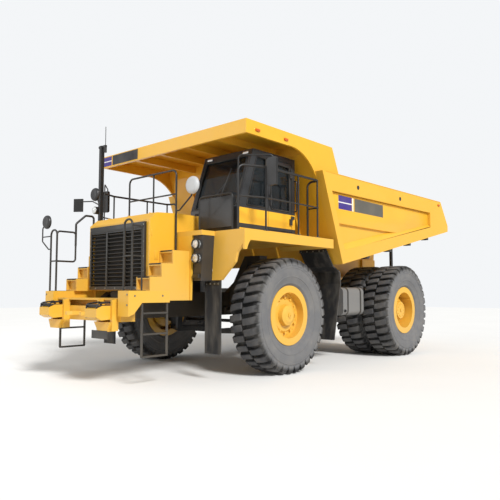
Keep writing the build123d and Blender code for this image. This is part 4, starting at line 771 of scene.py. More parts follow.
class TRUCK_OT_wheel_hardware(bpy.types.Operator):
    """Add nuts, lock rings, hub bolts and valves to the wheels"""

    bl_idname = "truck.wheel_hardware"
    bl_label = "Wheel hardware"

    def execute(self, context):
        """Front and rear hardware differ, left and right mirror each other."""
        nut = context.scene.truck_trim.nut
        for side, sign in SIDES:
            centre = Vector((sign * FRONT_WHEEL_X, 0, AXLE_Z))
            bm = bmesh.new()
            self.nuts(bm, centre, sign, 0.128, 0.170, 12, nut * 0.8)
            self.nuts(bm, centre, sign, 0.096, 0.372, 24, nut * 0.62)
            self.lock_ring(bm, centre, sign, 0)
            self.bar(bm, centre, sign, (0.15, 0, 0.395), (0.262, 0, 0.405), 0.009)
            self.bar(bm, centre, sign, (0.243, 0, 0), (0.257, 0, 0), 0.05, 24, 0.004)
            add_bolts(bm, [centre + Vector((sign * 0.255, 0, 0))], (sign, 0, 0), 0.018)
            name, body = "front_wheel_hardware_" + side, "front_wheel_" + side
            finish_piece(bm, name, "chrome_yellow_enamel", body)

            centre = Vector((sign * REAR_WHEELS_X, REAR_AXLE, AXLE_Z))
            bm = bmesh.new()
            self.nuts(bm, centre, sign, 0.297, 0.275, 16, nut * 0.9)
            self.nuts(bm, centre, sign, 0.520, 0.150, 12, nut * 0.85)
            self.lock_ring(bm, centre, sign, HALF_DUAL_SPACING)
            for lean in (-0.9, 0.9):
                y, z = 0.40 * sin(lean), 0.40 * cos(lean)
                self.bar(bm, centre, sign, (0.26, y, z), (0.62, y, z), 0.009)
            self.bar(bm, centre, sign, (0.530, 0, 0), (0.546, 0, 0), 0.045, 24, 0.004)
            name, body = "rear_wheel_hardware_" + side, "rear_wheels_" + side
            finish_piece(bm, name, "chrome_yellow_enamel", body)
        return {"FINISHED"}

    def nuts(self, bm, centre, sign, out, radius, count, size):
        """Circle of nuts facing outward."""
        angles = [2 * pi * i / count for i in range(count)]
        places = [centre + Vector((sign * out, radius * sin(a), radius * cos(a))) for a in angles]
        add_bolts(bm, places, (sign, 0, 0), size)

    def lock_ring(self, bm, centre, sign, out):
        """Split ring that locks the tyre on the rim."""
        section = [
            (0.205, 0.425), (0.236, 0.430), (0.242, 0.446), (0.236, 0.462), (0.222, 0.466),
            (0.205, 0.425),
        ]
        place = turned_to(centre, 0 if sign > 0 else pi)
        add_turned(bm, [(x + out, r) for x, r in section], place, 64)

    def bar(self, bm, centre, sign, start, end, radius, segments=14, edge=0.0):
        """Valve stem or plug between two points measured outward from the centre."""
        start, end = (centre + Vector((sign * x, y, z)) for x, y, z in (start, end))
        add_rod(bm, start, end, radius, segments, edge)


class TRUCK_OT_body_trim(bpy.types.Operator):
    """Add panels, ledges, stripes, plates, welds and marker lamps to the dump body"""

    bl_idname = "truck.body_trim"
    bl_label = "Body trim"

    def execute(self, context):
        """Everything here rides on the dump body."""
        self.panels()
        self.welds(context.scene.truck_trim.weld)
        self.decals()
        self.fittings()
        return {"FINISHED"}

    def panels(self):
        """Raised upper panel and sloped ledge in each side's recess."""
        bm = bmesh.new()
        outline = [(1.012, 3.496), (5.560, 3.540), (5.560, 3.185), (3.800, 2.885), (1.240, 2.885)]
        add_plate(bm, outline, 0.062, side_plane(2.176), edge=0.006)
        ledge = [(0, 0), (0.116, 0), (0.004, 0.120), (0, 0.120)]
        before = set(bm.verts)
        add_plate(bm, ledge, 4.18, Matrix.Identity(4), edge=0.004)
        tilt = Matrix(((1, 0, 0, 2.180), (0, 0, 0.9796, 1.46), (0, 1, 0.2009, 2.345), (0, 0, 0, 1)))
        bmesh.ops.transform(bm, matrix=tilt, verts=new_verts(bm, before))
        mirrored(bm)
        finish_piece(bm, "body_side_panels", "chrome_yellow_enamel", "dump_body")

    def welds(self, radius):
        """Beads along the sides' seams and the canopy's stiffeners."""
        bm = bmesh.new()
        for x, (y0, z0), (y1, z1) in (
            (2.183, (1.405, 2.349), (5.56, 3.174)), (2.184, (1.0, 3.503), (5.565, 3.548)),
            (2.302, (0.80, 3.86), (6.20, 3.905)), (2.105, (1.3, 2.20), (6.55, 3.27)),
        ):
            add_tube(bm, [(x, y0, z0), (x, y1, z1)], radius, 0, 6)
        mirrored(bm)
        for x in (-1.23, -1.17, -0.43, -0.37, 0.37, 0.43, 1.17, 1.23):
            add_tube(bm, [(x, -1.27, 4.408), (x, 0.45, 4.408)], radius, 0, 6)
        finish_piece(bm, "body_weld_beads", "chrome_yellow_enamel", "dump_body")

    def decals(self):
        """Stripes with a thin pale line and blank plates, on the sides and the canopy."""
        stripes, lines, plates, blacks = (bmesh.new() for _ in range(4))
        x = 2.2375
        for y0, y1, z0, z1, bm in (
            (1.32, 1.83, 3.336, 3.465, stripes), (1.32, 1.83, 3.185, 3.314, stripes),
            (1.32, 1.83, 3.314, 3.336, lines), (1.850, 1.890, 3.185, 3.465, lines),
            (1.935, 3.17, 3.185, 3.465, plates),
        ):
            add_block(bm, (x, y0, z0), (x + 0.002, y1, z1), 0.0006, 1)
        mirrored(stripes, lines, plates)
        y = -1.3405
        for x0, x1, z0, z1, bm in (
            (-2.105, -1.80, 4.345, 4.435, stripes), (-2.105, -1.80, 4.235, 4.325, stripes),
            (-2.105, -1.80, 4.325, 4.345, lines), (-1.765, -0.88, 4.232, 4.438, blacks),
        ):
            add_block(bm, (x0, y - 0.002, z0), (x1, y, z1), 0.0006, 1)
        finish_piece(stripes, "stripe_decals", "printed_vinyl_stripe", "dump_body")
        finish_piece(lines, "stripe_gaps", "printed_vinyl_white", "dump_body")
        finish_piece(plates, "side_plates", "dark_vinyl_plate", "dump_body")
        finish_piece(blacks, "canopy_plate", "black_vinyl_plate", "dump_body")

    def fittings(self):
        """Lifting sockets, stops under the sides and marker lamps."""
        bm = bmesh.new()
        for y in (1.99, 3.90):
            add_rod(bm, (2.299, y, 3.70), (2.309, y, 3.70), 0.045, segments=24, edge=0.003)
        for y in (2.4, 3.4, 4.4, 5.4):
            z = 2.06 + (y - 1.36) * 0.2039
            add_block(bm, (2.12, y - 0.05, z - 0.055), (2.29, y + 0.05, z + 0.03), 0.01)
        mirrored(bm)
        finish_piece(bm, "body_lift_sockets", "dark_grey_enamel", "dump_body")
        bm = bmesh.new()
        for x, y, z in ((2.12, -1.05, 4.30), (2.12, -0.25, 4.30), (2.30, 6.10, 3.80)):
            low, high = (x - 0.004, y - 0.055, z - 0.022), (x + 0.026, y + 0.055, z + 0.022)
            add_block(bm, low, high, 0.009, 3)
        mirrored(bm)
        finish_piece(bm, "body_marker_lamps", "amber_acrylic_lens", "dump_body")


class TRUCK_OT_front_end(bpy.types.Operator):
    """Add the grille screen, blank bar, lamps, bumper hoops and bolts"""

    bl_idname = "truck.front_end"
    bl_label = "Front end"

    def execute(self, context):
        """Pieces on the hood, the grille and the bumper."""
        self.grille()
        self.bolts(context.scene.truck_trim.bolt)
        self.bumper()
        self.headlamps()
        self.hood()
        return {"FINISHED"}

    def grille(self):
        """Filter screen, thin upright bars, two posts and a blank bar on top."""
        bm = bmesh.new()
        add_block(bm, (-0.768, -2.366, 1.60), (0.768, -2.362, 2.565), 0.001, 1)
        finish_piece(bm, "grille_screen", "air_filter_mesh")
        bm = bmesh.new()
        bars, half_width = 46, 0.75
        for i in range(bars):
            x = -half_width + i * 2 * half_width / (bars - 1)
            add_rod(bm, (x, -2.392, 1.602), (x, -2.392, 2.563), 0.004, segments=6)
        add_block(bm, (-0.78, GRILLE_Y - 0.012, 2.585), (0.78, GRILLE_Y, 2.672), 0.006)
        for x in (-0.27, 0.27):
            add_block(bm, (x - 0.022, GRILLE_Y - 0.008, 1.60), (x + 0.022, GRILLE_Y, 2.57))
        finish_piece(bm, "grille_bars", "black_enamel_and_frame_shade")

    def bolts(self, size):
        """Bolts round the grille and on the bumper's blocks."""
        bm = bmesh.new()
        sides = [(x, GRILLE_Y, z) for x in (-0.795, 0.795) for z in (1.60, 1.85, 2.10, 2.35, 2.64)]
        foot = [(x, GRILLE_Y, 1.567) for x in (-0.6, -0.3, 0.0, 0.3, 0.6)]
        add_bolts(bm, sides + foot, (0, -1, 0), size * 0.8)
        for sign in (-1, 1):
            block = [(sign * 1.225, -3.07, z) for z in (1.30, 1.46)]
            add_bolts(bm, block, (0, -1, 0), size * 0.8)
            block = [(sign * 1.26, y, 1.44) for y in (-2.95, -2.40)]
            add_bolts(bm, block, (sign, 0, 0), size * 0.8)
        finish_piece(bm, "front_bolts", "zinc_plated_fastener")

    def bumper(self):
        """Bent bars over the noses and the blank number plate."""
        bm = bmesh.new()
        front, rear = -3.365, -3.10
        for sign in (-1, 1):
            low, high = sign * 0.575, sign * 0.857
            for x in (low, high):
                path = [(x, front, 1.10), (x, front, 1.315), (x, rear, 1.345), (x, rear, 1.24)]
                add_tube(bm, path, 0.013)
            for y, z in ((front, 1.300), (rear, 1.335)):
                add_rod(bm, (low, y, z), (high, y, z), 0.012)
            add_block(bm, (low, front + 0.01, 1.262), (high, rear, 1.292), 0.006)
        finish_piece(bm, "tow_hoops", "cast_steel_black_enamel")
        bm = bmesh.new()
        add_block(bm, (0.45, -3.186, 0.765), (0.88, -3.180, 0.895), 0.002, 1)
        finish_piece(bm, "blank_number_plate", "black_vinyl_plate")

    def headlamps(self):
        """Bezel and domed lens on each headlamp, and a small box below them."""
        bezels, lenses = bmesh.new(), bmesh.new()
        rim = [
            (-0.002, 0.066), (-0.012, 0.084), (0.006, 0.092), (0.026, 0.090), (0.030, 0.078),
            (0.020, 0.070), (-0.002, 0.066),
        ]
        dome = [
            (-0.001, 0.070), (0.014, 0.069), (0.022, 0.050), (0.026, 0.025), (0.027, 0.0),
            (-0.001, 0.0),
        ]
        for sign in (-1, 1):
            for z in (2.31, 2.07):
                place = turned_to((sign * 1.42, -1.83, z), -pi / 2)
                add_turned(bezels, rim, place, 40)
                add_turned(lenses, dome, place, 40)
            add_block(bezels, (sign * 1.335, -1.795, 1.735), (sign * 1.49, -1.83, 1.80), 0.006)
        finish_piece(bezels, "headlamp_bezels", "black_enamel_and_frame_shade")
        finish_piece(lenses, "headlamp_lenses", "ribbed_lamp_lens")

    def hood(self):
        """Seams on the hood's top, and a catch and hinges on its sides."""
        bm = bmesh.new()
        for x in (-0.62, 0.0, 0.62):
            seam = [(x - 0.012, -2.20), (x + 0.012, -2.20), (x + 0.012, -1.85), (x - 0.012, -1.85)]
            add_plate(bm, seam, 0.010, Matrix.Translation((0, 0, 2.872)))
        for sign in (-1, 1):
            add_block(bm, (sign * 0.899, -2.30, 2.05), (sign * 0.908, -2.22, 2.20), 0.003)
            x = sign * 0.903
            for z in (1.75, 2.50):
                add_rod(bm, (x, -2.36, z - 0.05), (x, -2.36, z + 0.05), 0.012, edge=0.003)
        finish_piece(bm, "hood_seams_and_hinges", "chrome_yellow_enamel")


class TRUCK_OT_cab_trim(bpy.types.Operator):
    """Add gaskets, wiper, gutter, louvres and grab bar to the cab"""

    bl_idname = "truck.cab_trim"
    bl_label = "Cab trim"

    def execute(self, context):
        """The windscreen leans back, so its pieces follow its slope."""
        bead = context.scene.truck_trim.gasket / 2
        bm = bmesh.new()
        corners = ((0.65, 3.04), (1.71, 3.04), (1.71, 3.96), (0.65, 3.96))
        add_frame(bm, [self.on_screen(x, z) for x, z in corners], bead)
        for x, rear_y in ((CAB_LEFT_X, -0.44), (0.56, 0.33)):
            corners = ((-0.98, 3.04), (-0.70, 3.96), (rear_y, 3.96), (rear_y, 3.04))
            add_frame(bm, [(x, y, z) for y, z in corners], bead)
        corners = ((0.68, 3.06), (1.68, 3.06), (1.68, 3.96), (0.68, 3.96))
        add_frame(bm, [(x, 0.44, z) for x, z in corners], bead)
        finish_piece(bm, "window_gaskets", "extruded_rubber_gasket")
        bm = bmesh.new()
        corners = ((-0.30, 3.04), (-0.30, 3.91), (0.26, 3.91), (0.26, 3.04))
        add_frame(bm, [(CAB_LEFT_X, y, z) for y, z in corners], bead)
        add_block(bm, (1.798, -0.36, 3.18), (1.812, -0.29, 3.24))
        finish_piece(bm, "door_gasket", "extruded_rubber_gasket", "cab_door")

        at = self.on_screen
        bm = bmesh.new()
        add_rod(bm, at(1.05, 2.985, -0.01), at(1.05, 2.985, 0.03), 0.024, edge=0.003)
        arm = [at(1.05, 2.985, 0.012), at(1.12, 3.15, 0.045), at(1.33, 3.46, 0.026)]
        add_tube(bm, arm, 0.007, 0.03)
        add_rod(bm, at(1.27, 3.17, 0.014), at(1.39, 3.76, 0.014), 0.008)
        add_rod(bm, at(1.30, 3.30, 0.022), at(1.36, 3.62, 0.022), 0.006)
        finish_piece(bm, "windscreen_wiper", "grained_cab_plastic")

        bm = bmesh.new()
        roof = [(0.565, -0.79), (1.795, -0.79), (1.795, 0.435), (0.565, 0.435)]
        add_frame(bm, [(x, y, 4.062) for x, y in roof], 0.015, 0.05)
        tilt = Matrix.Rotation(radians(-28), 4, "X")
        for i in range(6):
            z = 2.69 + i * 0.045
            add_block(bm, (0.72, -1.180, z), (1.28, -1.160, z + 0.026), 0.003, 1, tilt)
        louvres = ((0.69, 2.66), (1.31, 2.66), (1.31, 2.95), (0.69, 2.95))
        add_frame(bm, [(x, -1.172, z) for x, z in louvres], 0.010, 0.02)
        grab_bar = ((1.79, 3.06), (1.86, 3.06), (1.86, 3.66), (1.79, 3.66))
        add_tube(bm, [(x, 0.415, z) for x, z in grab_bar], 0.013, 0.04)
        add_bolts(bm, [(CAB_LEFT_X, -0.41, z) for z in (3.03, 3.97)], (1, 0, 0), 0.010)
        for x in (0.605, 1.755):
            add_rod(bm, at(x, 3.02, 0.002), at(x, 4.00, 0.002), 0.013, segments=8)
        finish_piece(bm, "cab_gutter_and_louvres", "black_enamel_and_frame_shade")

        bm = bmesh.new()
        for x in (0.72, 1.64):
            add_block(bm, (x - 0.07, -0.835, 4.005), (x + 0.07, -0.795, 4.055), 0.012, 3)
        finish_piece(bm, "cab_roof_lamps", "ribbed_lamp_lens")
        return {"FINISHED"}

    def on_screen(self, x, z, out=0.0):
        """Point on the windscreen's slope, moved outward by a distance."""
        foot_y, foot_z, slope = -1.17, 3.0, 0.3394
        return Vector((x, foot_y + slope * (z - foot_z) - 0.947 * out, z + 0.321 * out))


class TRUCK_OT_cab_inside(bpy.types.Operator):
    """Add gauges, console, levers and pedals inside the cab"""

    bl_idname = "truck.cab_inside"
    bl_label = "Cab inside"

    def execute(self, context):
        """What shows through the glass round the driver's place."""
        bm = bmesh.new()
        tilt = Matrix.Rotation(radians(-20), 4, "X")
        add_block(bm, (0.98, -1.03, 3.02), (1.38, -0.90, 3.13), 0.025, 3, tilt)
        add_block(bm, (0.70, -0.66, 2.592), (0.885, -0.12, 3.00), 0.03, 3)
        knob = [(-0.030, 0.0), (-0.026, 0.014), (0.0, 0.022), (0.026, 0.016), (0.034, 0.0)]
        for y in (-0.56, -0.44, -0.32):
            add_rod(bm, (0.79, y, 2.99), (0.79, y - 0.02, 3.13), 0.008)
            add_turned(bm, knob, turned_to((0.79, y - 0.022, 3.15), -pi / 2, "Y"), 16)
        lean = Matrix.Rotation(radians(38), 4, "X")
        for x in (1.00, 1.34):
            add_block(bm, (x - 0.05, -0.82, 2.66), (x + 0.05, -0.80, 2.82), 0.006, 2, lean)
            add_rod(bm, (x, -0.84, 2.60), (x, -0.81, 2.72), 0.012)
        finish_piece(bm, "cab_console_and_pedals", "grained_cab_plastic")
        bm = bmesh.new()
        add_block(bm, (0.92, -0.83, 2.591), (1.74, -0.40, 2.600), 0.003)
        finish_piece(bm, "cab_floor_mat", "extruded_rubber_gasket")
        bm = bmesh.new()
        dial = [
            (-0.01, 0.0), (-0.01, 0.044), (0.008, 0.044), (0.008, 0.036), (0.001, 0.034),
            (0.001, 0.0),
        ]
        for x in (1.06, 1.18, 1.30):
            place = turned_to((x, -0.905, 3.078), radians(20), "X")
            add_turned(bm, dial, place @ Matrix.Rotation(pi / 2, 4, "Z"), 28)
        finish_piece(bm, "cab_gauges", "moulded_pale_plastic")
        bm = bmesh.new()
        add_plate(bm, rounded_outline((-0.33, 2.72), (0.27, 2.99), 0.05), 0.010, side_plane(1.741))
        add_block(bm, (1.715, -0.20, 2.92), (1.743, 0.02, 2.95), 0.01, 3)
        finish_piece(bm, "door_inner_panel", "grained_cab_plastic", "cab_door")
        return {"FINISHED"}


class TRUCK_OT_mirror_faces(bpy.types.Operator):
    """Add glass, rims and pale caps to the mirrors"""

    bl_idname = "truck.mirror_faces"
    bl_label = "Mirrors"

    def execute(self, context):
        """Round mirrors have a domed cap ahead and convex glass behind."""
        glass, pale, grey = bmesh.new(), bmesh.new(), bmesh.new()
        for centre, radius, cap in (
            ((1.362, -1.872, 3.320), 0.150, pale), ((-1.405, -3.010, 2.805), 0.125, grey),
            ((-1.410, -1.990, 3.465), 0.130, grey),
        ):
            place = turned_to(centre, -pi / 2)
            half = radius / 4
            bend = radius * 0.35 + 0.003
            edge = radius + 0.003
            start = half - radius * 0.35
            profile = [(start - 0.012, 0.0), (start - 0.012, edge), (start, edge)]
            for i in range(1, 9):
                angle = pi / 2 * i / 8
                profile.append((start + bend * sin(angle), edge - bend + bend * cos(angle)))
            profile += [(start + bend + 0.002, (edge - bend) / 2), (start + bend + 0.003, 0.0)]
            add_turned(cap, profile, place)
            face = [
                (0.004, 0.0), (0.004, radius * 0.94), (-0.003, radius * 0.93),
                (-0.007, radius * 0.6), (-0.009, radius * 0.3), (-0.010, 0.0),
            ]
            add_turned(glass, [(x - half, r) for x, r in face], place)
        for low, high in ((-2.523, -2.357), (2.357, 2.523)):
            outline = rounded_outline((low, 3.318), (high, 3.762), 0.03)
            add_plate(glass, outline, 0.009, front_plane(-0.998), 0.002)
        turn = turned_to((-1.585, -2.245, 3.230), radians(35))
        outline = rounded_outline((-0.085, -0.12), (0.085, 0.12), 0.02)
        add_plate(glass, outline, 0.006, turn @ front_plane(0.020), 0.002)
        finish_piece(glass, "mirror_glass", "silvered_mirror_glass")
        finish_piece(pale, "left_mirror_cap", "moulded_pale_plastic")
        finish_piece(grey, "right_mirror_caps", "dark_grey_enamel")
        bm = bmesh.new()
        lens = [(-0.002, 0.0), (-0.002, 0.068), (0.008, 0.066), (0.016, 0.04), (0.019, 0.0)]
        add_turned(bm, lens, turned_to((-1.330, -2.046, 3.130), -pi / 2), 32)
        finish_piece(bm, "landing_lamp_lens", "ribbed_lamp_lens")
        return {"FINISHED"}


class TRUCK_OT_walkways(bpy.types.Operator):
    """Add grip strips, rail feet and flap clamps to steps, deck and bumper"""

    bl_idname = "truck.walkways"
    bl_label = "Walkways"

    def execute(self, context):
        """Left and right are mirror images."""
        bolt = context.scene.truck_trim.bolt
        grips = bmesh.new()
        for i in range(3):
            y = -2.66 + STEP_RUN * i
            z = 1.745 + STEP_RISE * i
            add_block(grips, (0.93, y - 0.004, z - 0.018), (1.23, y + 0.004, z + 0.004), 0.002, 1)
            for k in range(4):
                front = y + 0.012 + k * 0.045
                add_block(grips, (0.94, front, z), (1.22, front + 0.022, z + 0.006), 0.002, 1)
        for k in range(5):
            y = -3.03 + 0.07 * k
            add_block(grips, (1.02, y, 1.519), (1.22, y + 0.04, 1.526), 0.002, 1)
        add_block(grips, (0.94, -1.49, DECK_Z - 0.002), (2.20, -1.455, DECK_Z + 0.006), 0.002, 1)

        feet, heads = bmesh.new(), bmesh.new()
        low_z, top_z = DECK_Z - 0.002, DECK_Z + 0.009
        for x, y in ((2.212, -0.96), (2.212, -0.03), (2.212, 0.58), (2.03, -1.40), (1.98, -1.38)):
            add_block(feet, (x - 0.046, y - 0.055, low_z), (x + 0.046, y + 0.055, top_z), 0.003)
            corners = [(x + dx, y + dy, top_z) for dx in (-0.032, 0.032) for dy in (-0.042, 0.042)]
            add_bolts(heads, corners, (0, 0, 1), bolt * 0.6)
        for y, x0, x1, z, places in (
            (-1.514, 1.335, 1.685, 1.640, (1.37, 1.46, 1.56, 1.65)),
            (1.045, 1.46, 2.09, 2.32, (1.5, 1.65, 1.8, 1.95, 2.05)),
        ):
            add_block(feet, (x0, y - 0.008, z - 0.025), (x1, y, z + 0.025), 0.003)
            add_bolts(heads, [(x, y - 0.008, z) for x in places], (0, -1, 0), bolt * 0.8)
        mirrored(grips, feet, heads)
        finish_piece(grips, "step_grip_strips", "extruded_rubber_gasket")
        finish_piece(feet, "rail_feet_and_clamps", "black_enamel_and_frame_shade")
        finish_piece(heads, "rail_foot_bolts", "zinc_plated_fastener")
        return {"FINISHED"}


class TRUCK_OT_running_gear(bpy.types.Operator):
    """Add boots, glands, collars and flange bolts to the running gear"""

    bl_idname = "truck.running_gear"
    bl_label = "Running gear"

    def execute(self, context):
        """Strut boots turn with the knuckles, glands ride on their barrels."""
        for side, sign in SIDES:
            self.knuckle(side, sign)
            self.hoist(side, sign)
        self.axles(context.scene.truck_trim.bolt)
        return {"FINISHED"}

    def knuckle(self, side, sign):
        """Bellows round the strut's rod and the tie rod's nut."""
        bm = bmesh.new()
        folds, pitch = 11, 0.029
        profile = [(0.0, 0.0675), (0.0, 0.104)]
        for i in range(folds):
            z = 0.012 + i * pitch
            profile += [(z, 0.096), (z + pitch / 2, 0.079)]
        profile += [(0.334, 0.092), (0.334, 0.0675), (0.0, 0.0675)]
        add_turned(bm, profile, turned_to((sign * KINGPIN_X, 0, 1.7105), -pi / 2, "Y"), 36)
        finish_piece(
            bm, "strut_boot_" + side, "extruded_rubber_gasket", "knuckle_" + side,
            sharp=60,
        )
        bm = bmesh.new()
        x = sign * KINGPIN_X
        add_rod(bm, (x, 0.38, 0.860), (x, 0.38, 0.838), 0.033, segments=6)
        finish_piece(bm, "tie_rod_nut_" + side, "zinc_plated_fastener", "knuckle_" + side)

    def hoist(self, side, sign):
        """Glands at the ends of the barrel and the stage, and the barrel's ports."""
        foot = Vector((sign * 0.735, 2.805, 0.800))
        head = Vector((sign * 0.735, 2.635, 2.050))
        run = (head - foot).normalized()
        place = Matrix.Translation(foot) @ run.to_track_quat("X", "Z").to_matrix().to_4x4()
        bm = bmesh.new()
        ring = [
            (1.095, 0.0695), (1.095, 0.092), (1.103, 0.101), (1.147, 0.101), (1.1545, 0.094),
            (1.1545, 0.0695), (1.095, 0.0695),
        ]
        add_turned(bm, ring, place, 40)
        for reach in (0.16, 1.02):
            start = foot + run * reach + Vector((0, -0.075, 0))
            tip = start + Vector((0, -0.045, 0))
            add_rod(bm, start, tip, 0.022, segments=12, edge=0.003)
            start, tip = start + Vector((0, -0.03, 0)), start + Vector((0, -0.052, 0))
            add_rod(bm, start, tip, 0.028, segments=6)
        finish_piece(
            bm, "hoist_gland_" + side, "cast_steel_black_enamel", "hoist_barrel_" + side,
        )
        bm = bmesh.new()
        ring = [
            (1.1575, 0.0495), (1.1575, 0.072), (1.164, 0.077), (1.174, 0.074), (1.174, 0.0495),
            (1.1575, 0.0495),
        ]
        add_turned(bm, ring, place, 40)
        name, body = "hoist_stage_gland_" + side, "hoist_stage_" + side
        finish_piece(bm, name, "cast_steel_black_enamel", body)

    def axles(self, bolt):
        """Steering glands and the rear axle's bolted cover flange."""
        bm = bmesh.new()
        ring = [
            (0, 0.0285), (0.036, 0.0285), (0.036, 0.056), (0.030, 0.063), (0.006, 0.063),
            (0, 0.054), (0, 0.0285),
        ]
        add_turned(bm, ring, Matrix.Translation((0.894, -0.20, 1.13)), 32)
        mirrored(bm)
        flange = [
            (0.175, 0.20), (0.175, 0.292), (0.182, 0.299), (0.200, 0.299), (0.207, 0.292),
            (0.207, 0.20), (0.175, 0.20),
        ]
        add_turned(bm, flange, turned_to((0, REAR_AXLE, AXLE_Z), pi / 2))
        finish_piece(bm, "axle_flange_and_glands", "cast_steel_black_enamel")
        bm = bmesh.new()
        count, radius, y = 20, 0.281, REAR_AXLE + 0.207
        angles = [2 * pi * i / count for i in range(count)]
        ring = [(radius * sin(a), y, AXLE_Z + radius * cos(a)) for a in angles]
        add_bolts(bm, ring, (0, 1, 0), bolt * 0.8)
        finish_piece(bm, "axle_flange_bolts", "zinc_plated_fastener")


class TRUCK_OT_tanks(bpy.types.Operator):
    """Add caps, straps and a sight glass to the two tanks"""

    bl_idname = "truck.tanks"
    bl_label = "Tanks"

    def execute(self, context):
        """Both tanks have the same straps; only the right one has a sight glass."""
        straps, caps = bmesh.new(), bmesh.new()
        for sign, low_x, high_x, bend in ((1, 1.147, 1.903, 0.113), (-1, -1.903, -1.147, 0.063)):
            outline = rounded_outline((low_x, 0.997), (high_x, 1.603), bend, 8)
            for y in (2.205, 2.725):
                add_plate(straps, outline, 0.055, front_plane(y), 0)
            base = Vector((sign * 1.5, 2.2, 1.655))
            add_rod(caps, base, base + Vector((0, 0, 0.035)), 0.072, segments=32, edge=0.006)
            for i in range(12):
                angle = 2 * pi * i / 12
                grip = base + Vector((0.071 * cos(angle), 0.071 * sin(angle), 0.004))
                add_rod(caps, grip, grip + Vector((0, 0, 0.026)), 0.008, segments=8)
            x, y, z = sign * 1.905, 2.05, 1.10
            start, end = (x - sign * 0.01, y, z), (x + sign * 0.02, y, z)
            add_rod(caps, start, end, 0.03, segments=20, edge=0.003)
            add_rod(caps, (x, y, z), (x + sign * 0.035, y, z), 0.016, segments=6)
        finish_piece(straps, "tank_straps", "black_enamel_and_frame_shade")
        finish_piece(caps, "tank_caps", "cast_steel_black_enamel")
        bm = bmesh.new()
        add_block(bm, (-1.918, 2.40, 1.18), (-1.898, 2.45, 1.44), 0.008, 3)
        finish_piece(bm, "tank_sight_glass", "ribbed_lamp_lens")
        return {"FINISHED"}


class TRUCK_OT_seat(bpy.types.Operator):
    """Make the operator's seat with two padded cushions"""

    bl_idname = "truck.seat"
    bl_label = "Seat"

    def execute(self, context):
        """Cushion and back swell by cloth pressure, then get sewn channels."""
        sizes = context.scene.truck_seat
        bm = bmesh.new()
        low, high = (SEAT_X - 0.245, -0.388, 2.935), (SEAT_X + 0.245, 0.085, 3.035)
        add_block(bm, low, high, 0.035, 4)
        piece = self.pad(context, bm, "seat_cushion", sizes)
        self.sew(piece, (SEAT_X - 0.14, SEAT_X + 0.14), sizes.seam)
        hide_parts("cab_seat")
        bm = bmesh.new()
        low, high = (SEAT_X - 0.225, 0.095, 3.06), (SEAT_X + 0.225, 0.185, 3.71)
        add_block(bm, low, high, 0.035, 4, turn=Matrix.Rotation(radians(-7), 4, "X"))
        piece = self.pad(context, bm, "seat_back", sizes)
        self.sew(piece, (SEAT_X - 0.13, SEAT_X + 0.13), sizes.seam)
        self.stand()
        return {"FINISHED"}

    def stand(self):
        """Foot, bellows, pan and armrests."""
        bm = bmesh.new()
        for half_width, front, rear, low, high, edge in (
            (0.17, -0.33, 0.05, CAB_FLOOR_Z + 0.002, 2.64, 0.01),
            *((0.14, -0.29, 0.01, 2.645 + i * 0.09, 2.689 + i * 0.09, 0.012) for i in range(3)),
            *((0.152, -0.302, 0.022, 2.69 + i * 0.09, 2.734 + i * 0.09, 0.012) for i in range(2)),
            (0.21, -0.37, 0.09, 2.875, 2.925, 0.012),
        ):
            corner = (SEAT_X - half_width, front, low)
            add_block(bm, corner, (SEAT_X + half_width, rear, high), edge)
        for sign in (-1, 1):
            x = SEAT_X + sign * 0.275
            add_block(bm, (x - 0.028, -0.22, 3.17), (x + 0.028, 0.10, 3.215), 0.014, 3)
            add_rod(bm, (x, 0.08, 3.0), (x, 0.08, 3.18), 0.014)
            add_rod(bm, (x, 0.08, 3.0), (SEAT_X + sign * 0.18, 0.06, 2.90), 0.014)
        finish_piece(bm, "seat_stand", "grained_cab_plastic")

    def pad(self, context, bm, name, sizes):
        """Remeshes a block, swells it under cloth pressure and caps how far it moves."""
        piece = finish_piece(bm, name, "woven_polyester_cloth", sharp=180)
        remesh = piece.modifiers.new("voxels", "REMESH")
        remesh.mode = "VOXEL"
        remesh.voxel_size = sizes.voxel
        self.settle(context, piece)
        rest = [v.co.copy() for v in piece.data.vertices]
        cloth = piece.modifiers.new("cloth", "CLOTH")
        cloth.settings.use_pressure = True
        cloth.settings.uniform_pressure_force = sizes.pressure
        cloth.settings.effector_weights.gravity = 0
        last_frame = 20
        cloth.point_cache.frame_start = 1
        cloth.point_cache.frame_end = last_frame
        for number in range(1, last_frame + 1):
            context.scene.frame_set(number)
        self.settle(context, piece)
        context.scene.frame_set(1)
        for vert, place in zip(piece.data.vertices, rest):
            move = vert.co - place
            if move.length > sizes.swell:
                vert.co = place + move.normalized() * sizes.swell
        smooth = piece.modifiers.new("subdivision", "SUBSURF")
        smooth.levels = smooth.render_levels = 1
        return piece

    def settle(self, context, piece):
        """Writes the modifiers' result to the mesh and removes them."""
        material = piece.data.materials[0]
        shape = piece.evaluated_get(context.evaluated_depsgraph_get())
        mesh = bpy.data.meshes.new_from_object(shape)
        piece.modifiers.clear()
        piece.data = mesh
        mesh.materials.clear()
        mesh.materials.append(material)
        mesh.shade_smooth()

    def sew(self, piece, places, depth):
        """Presses sewn channels into a pad at places along its width."""
        half_channel = 0.014
        for vert in piece.data.vertices:
            near = min(abs(vert.co.x - place) for place in places)
            press = depth * max(0.0, 1 - (near / half_channel) ** 2)
            vert.co -= vert.normal * press


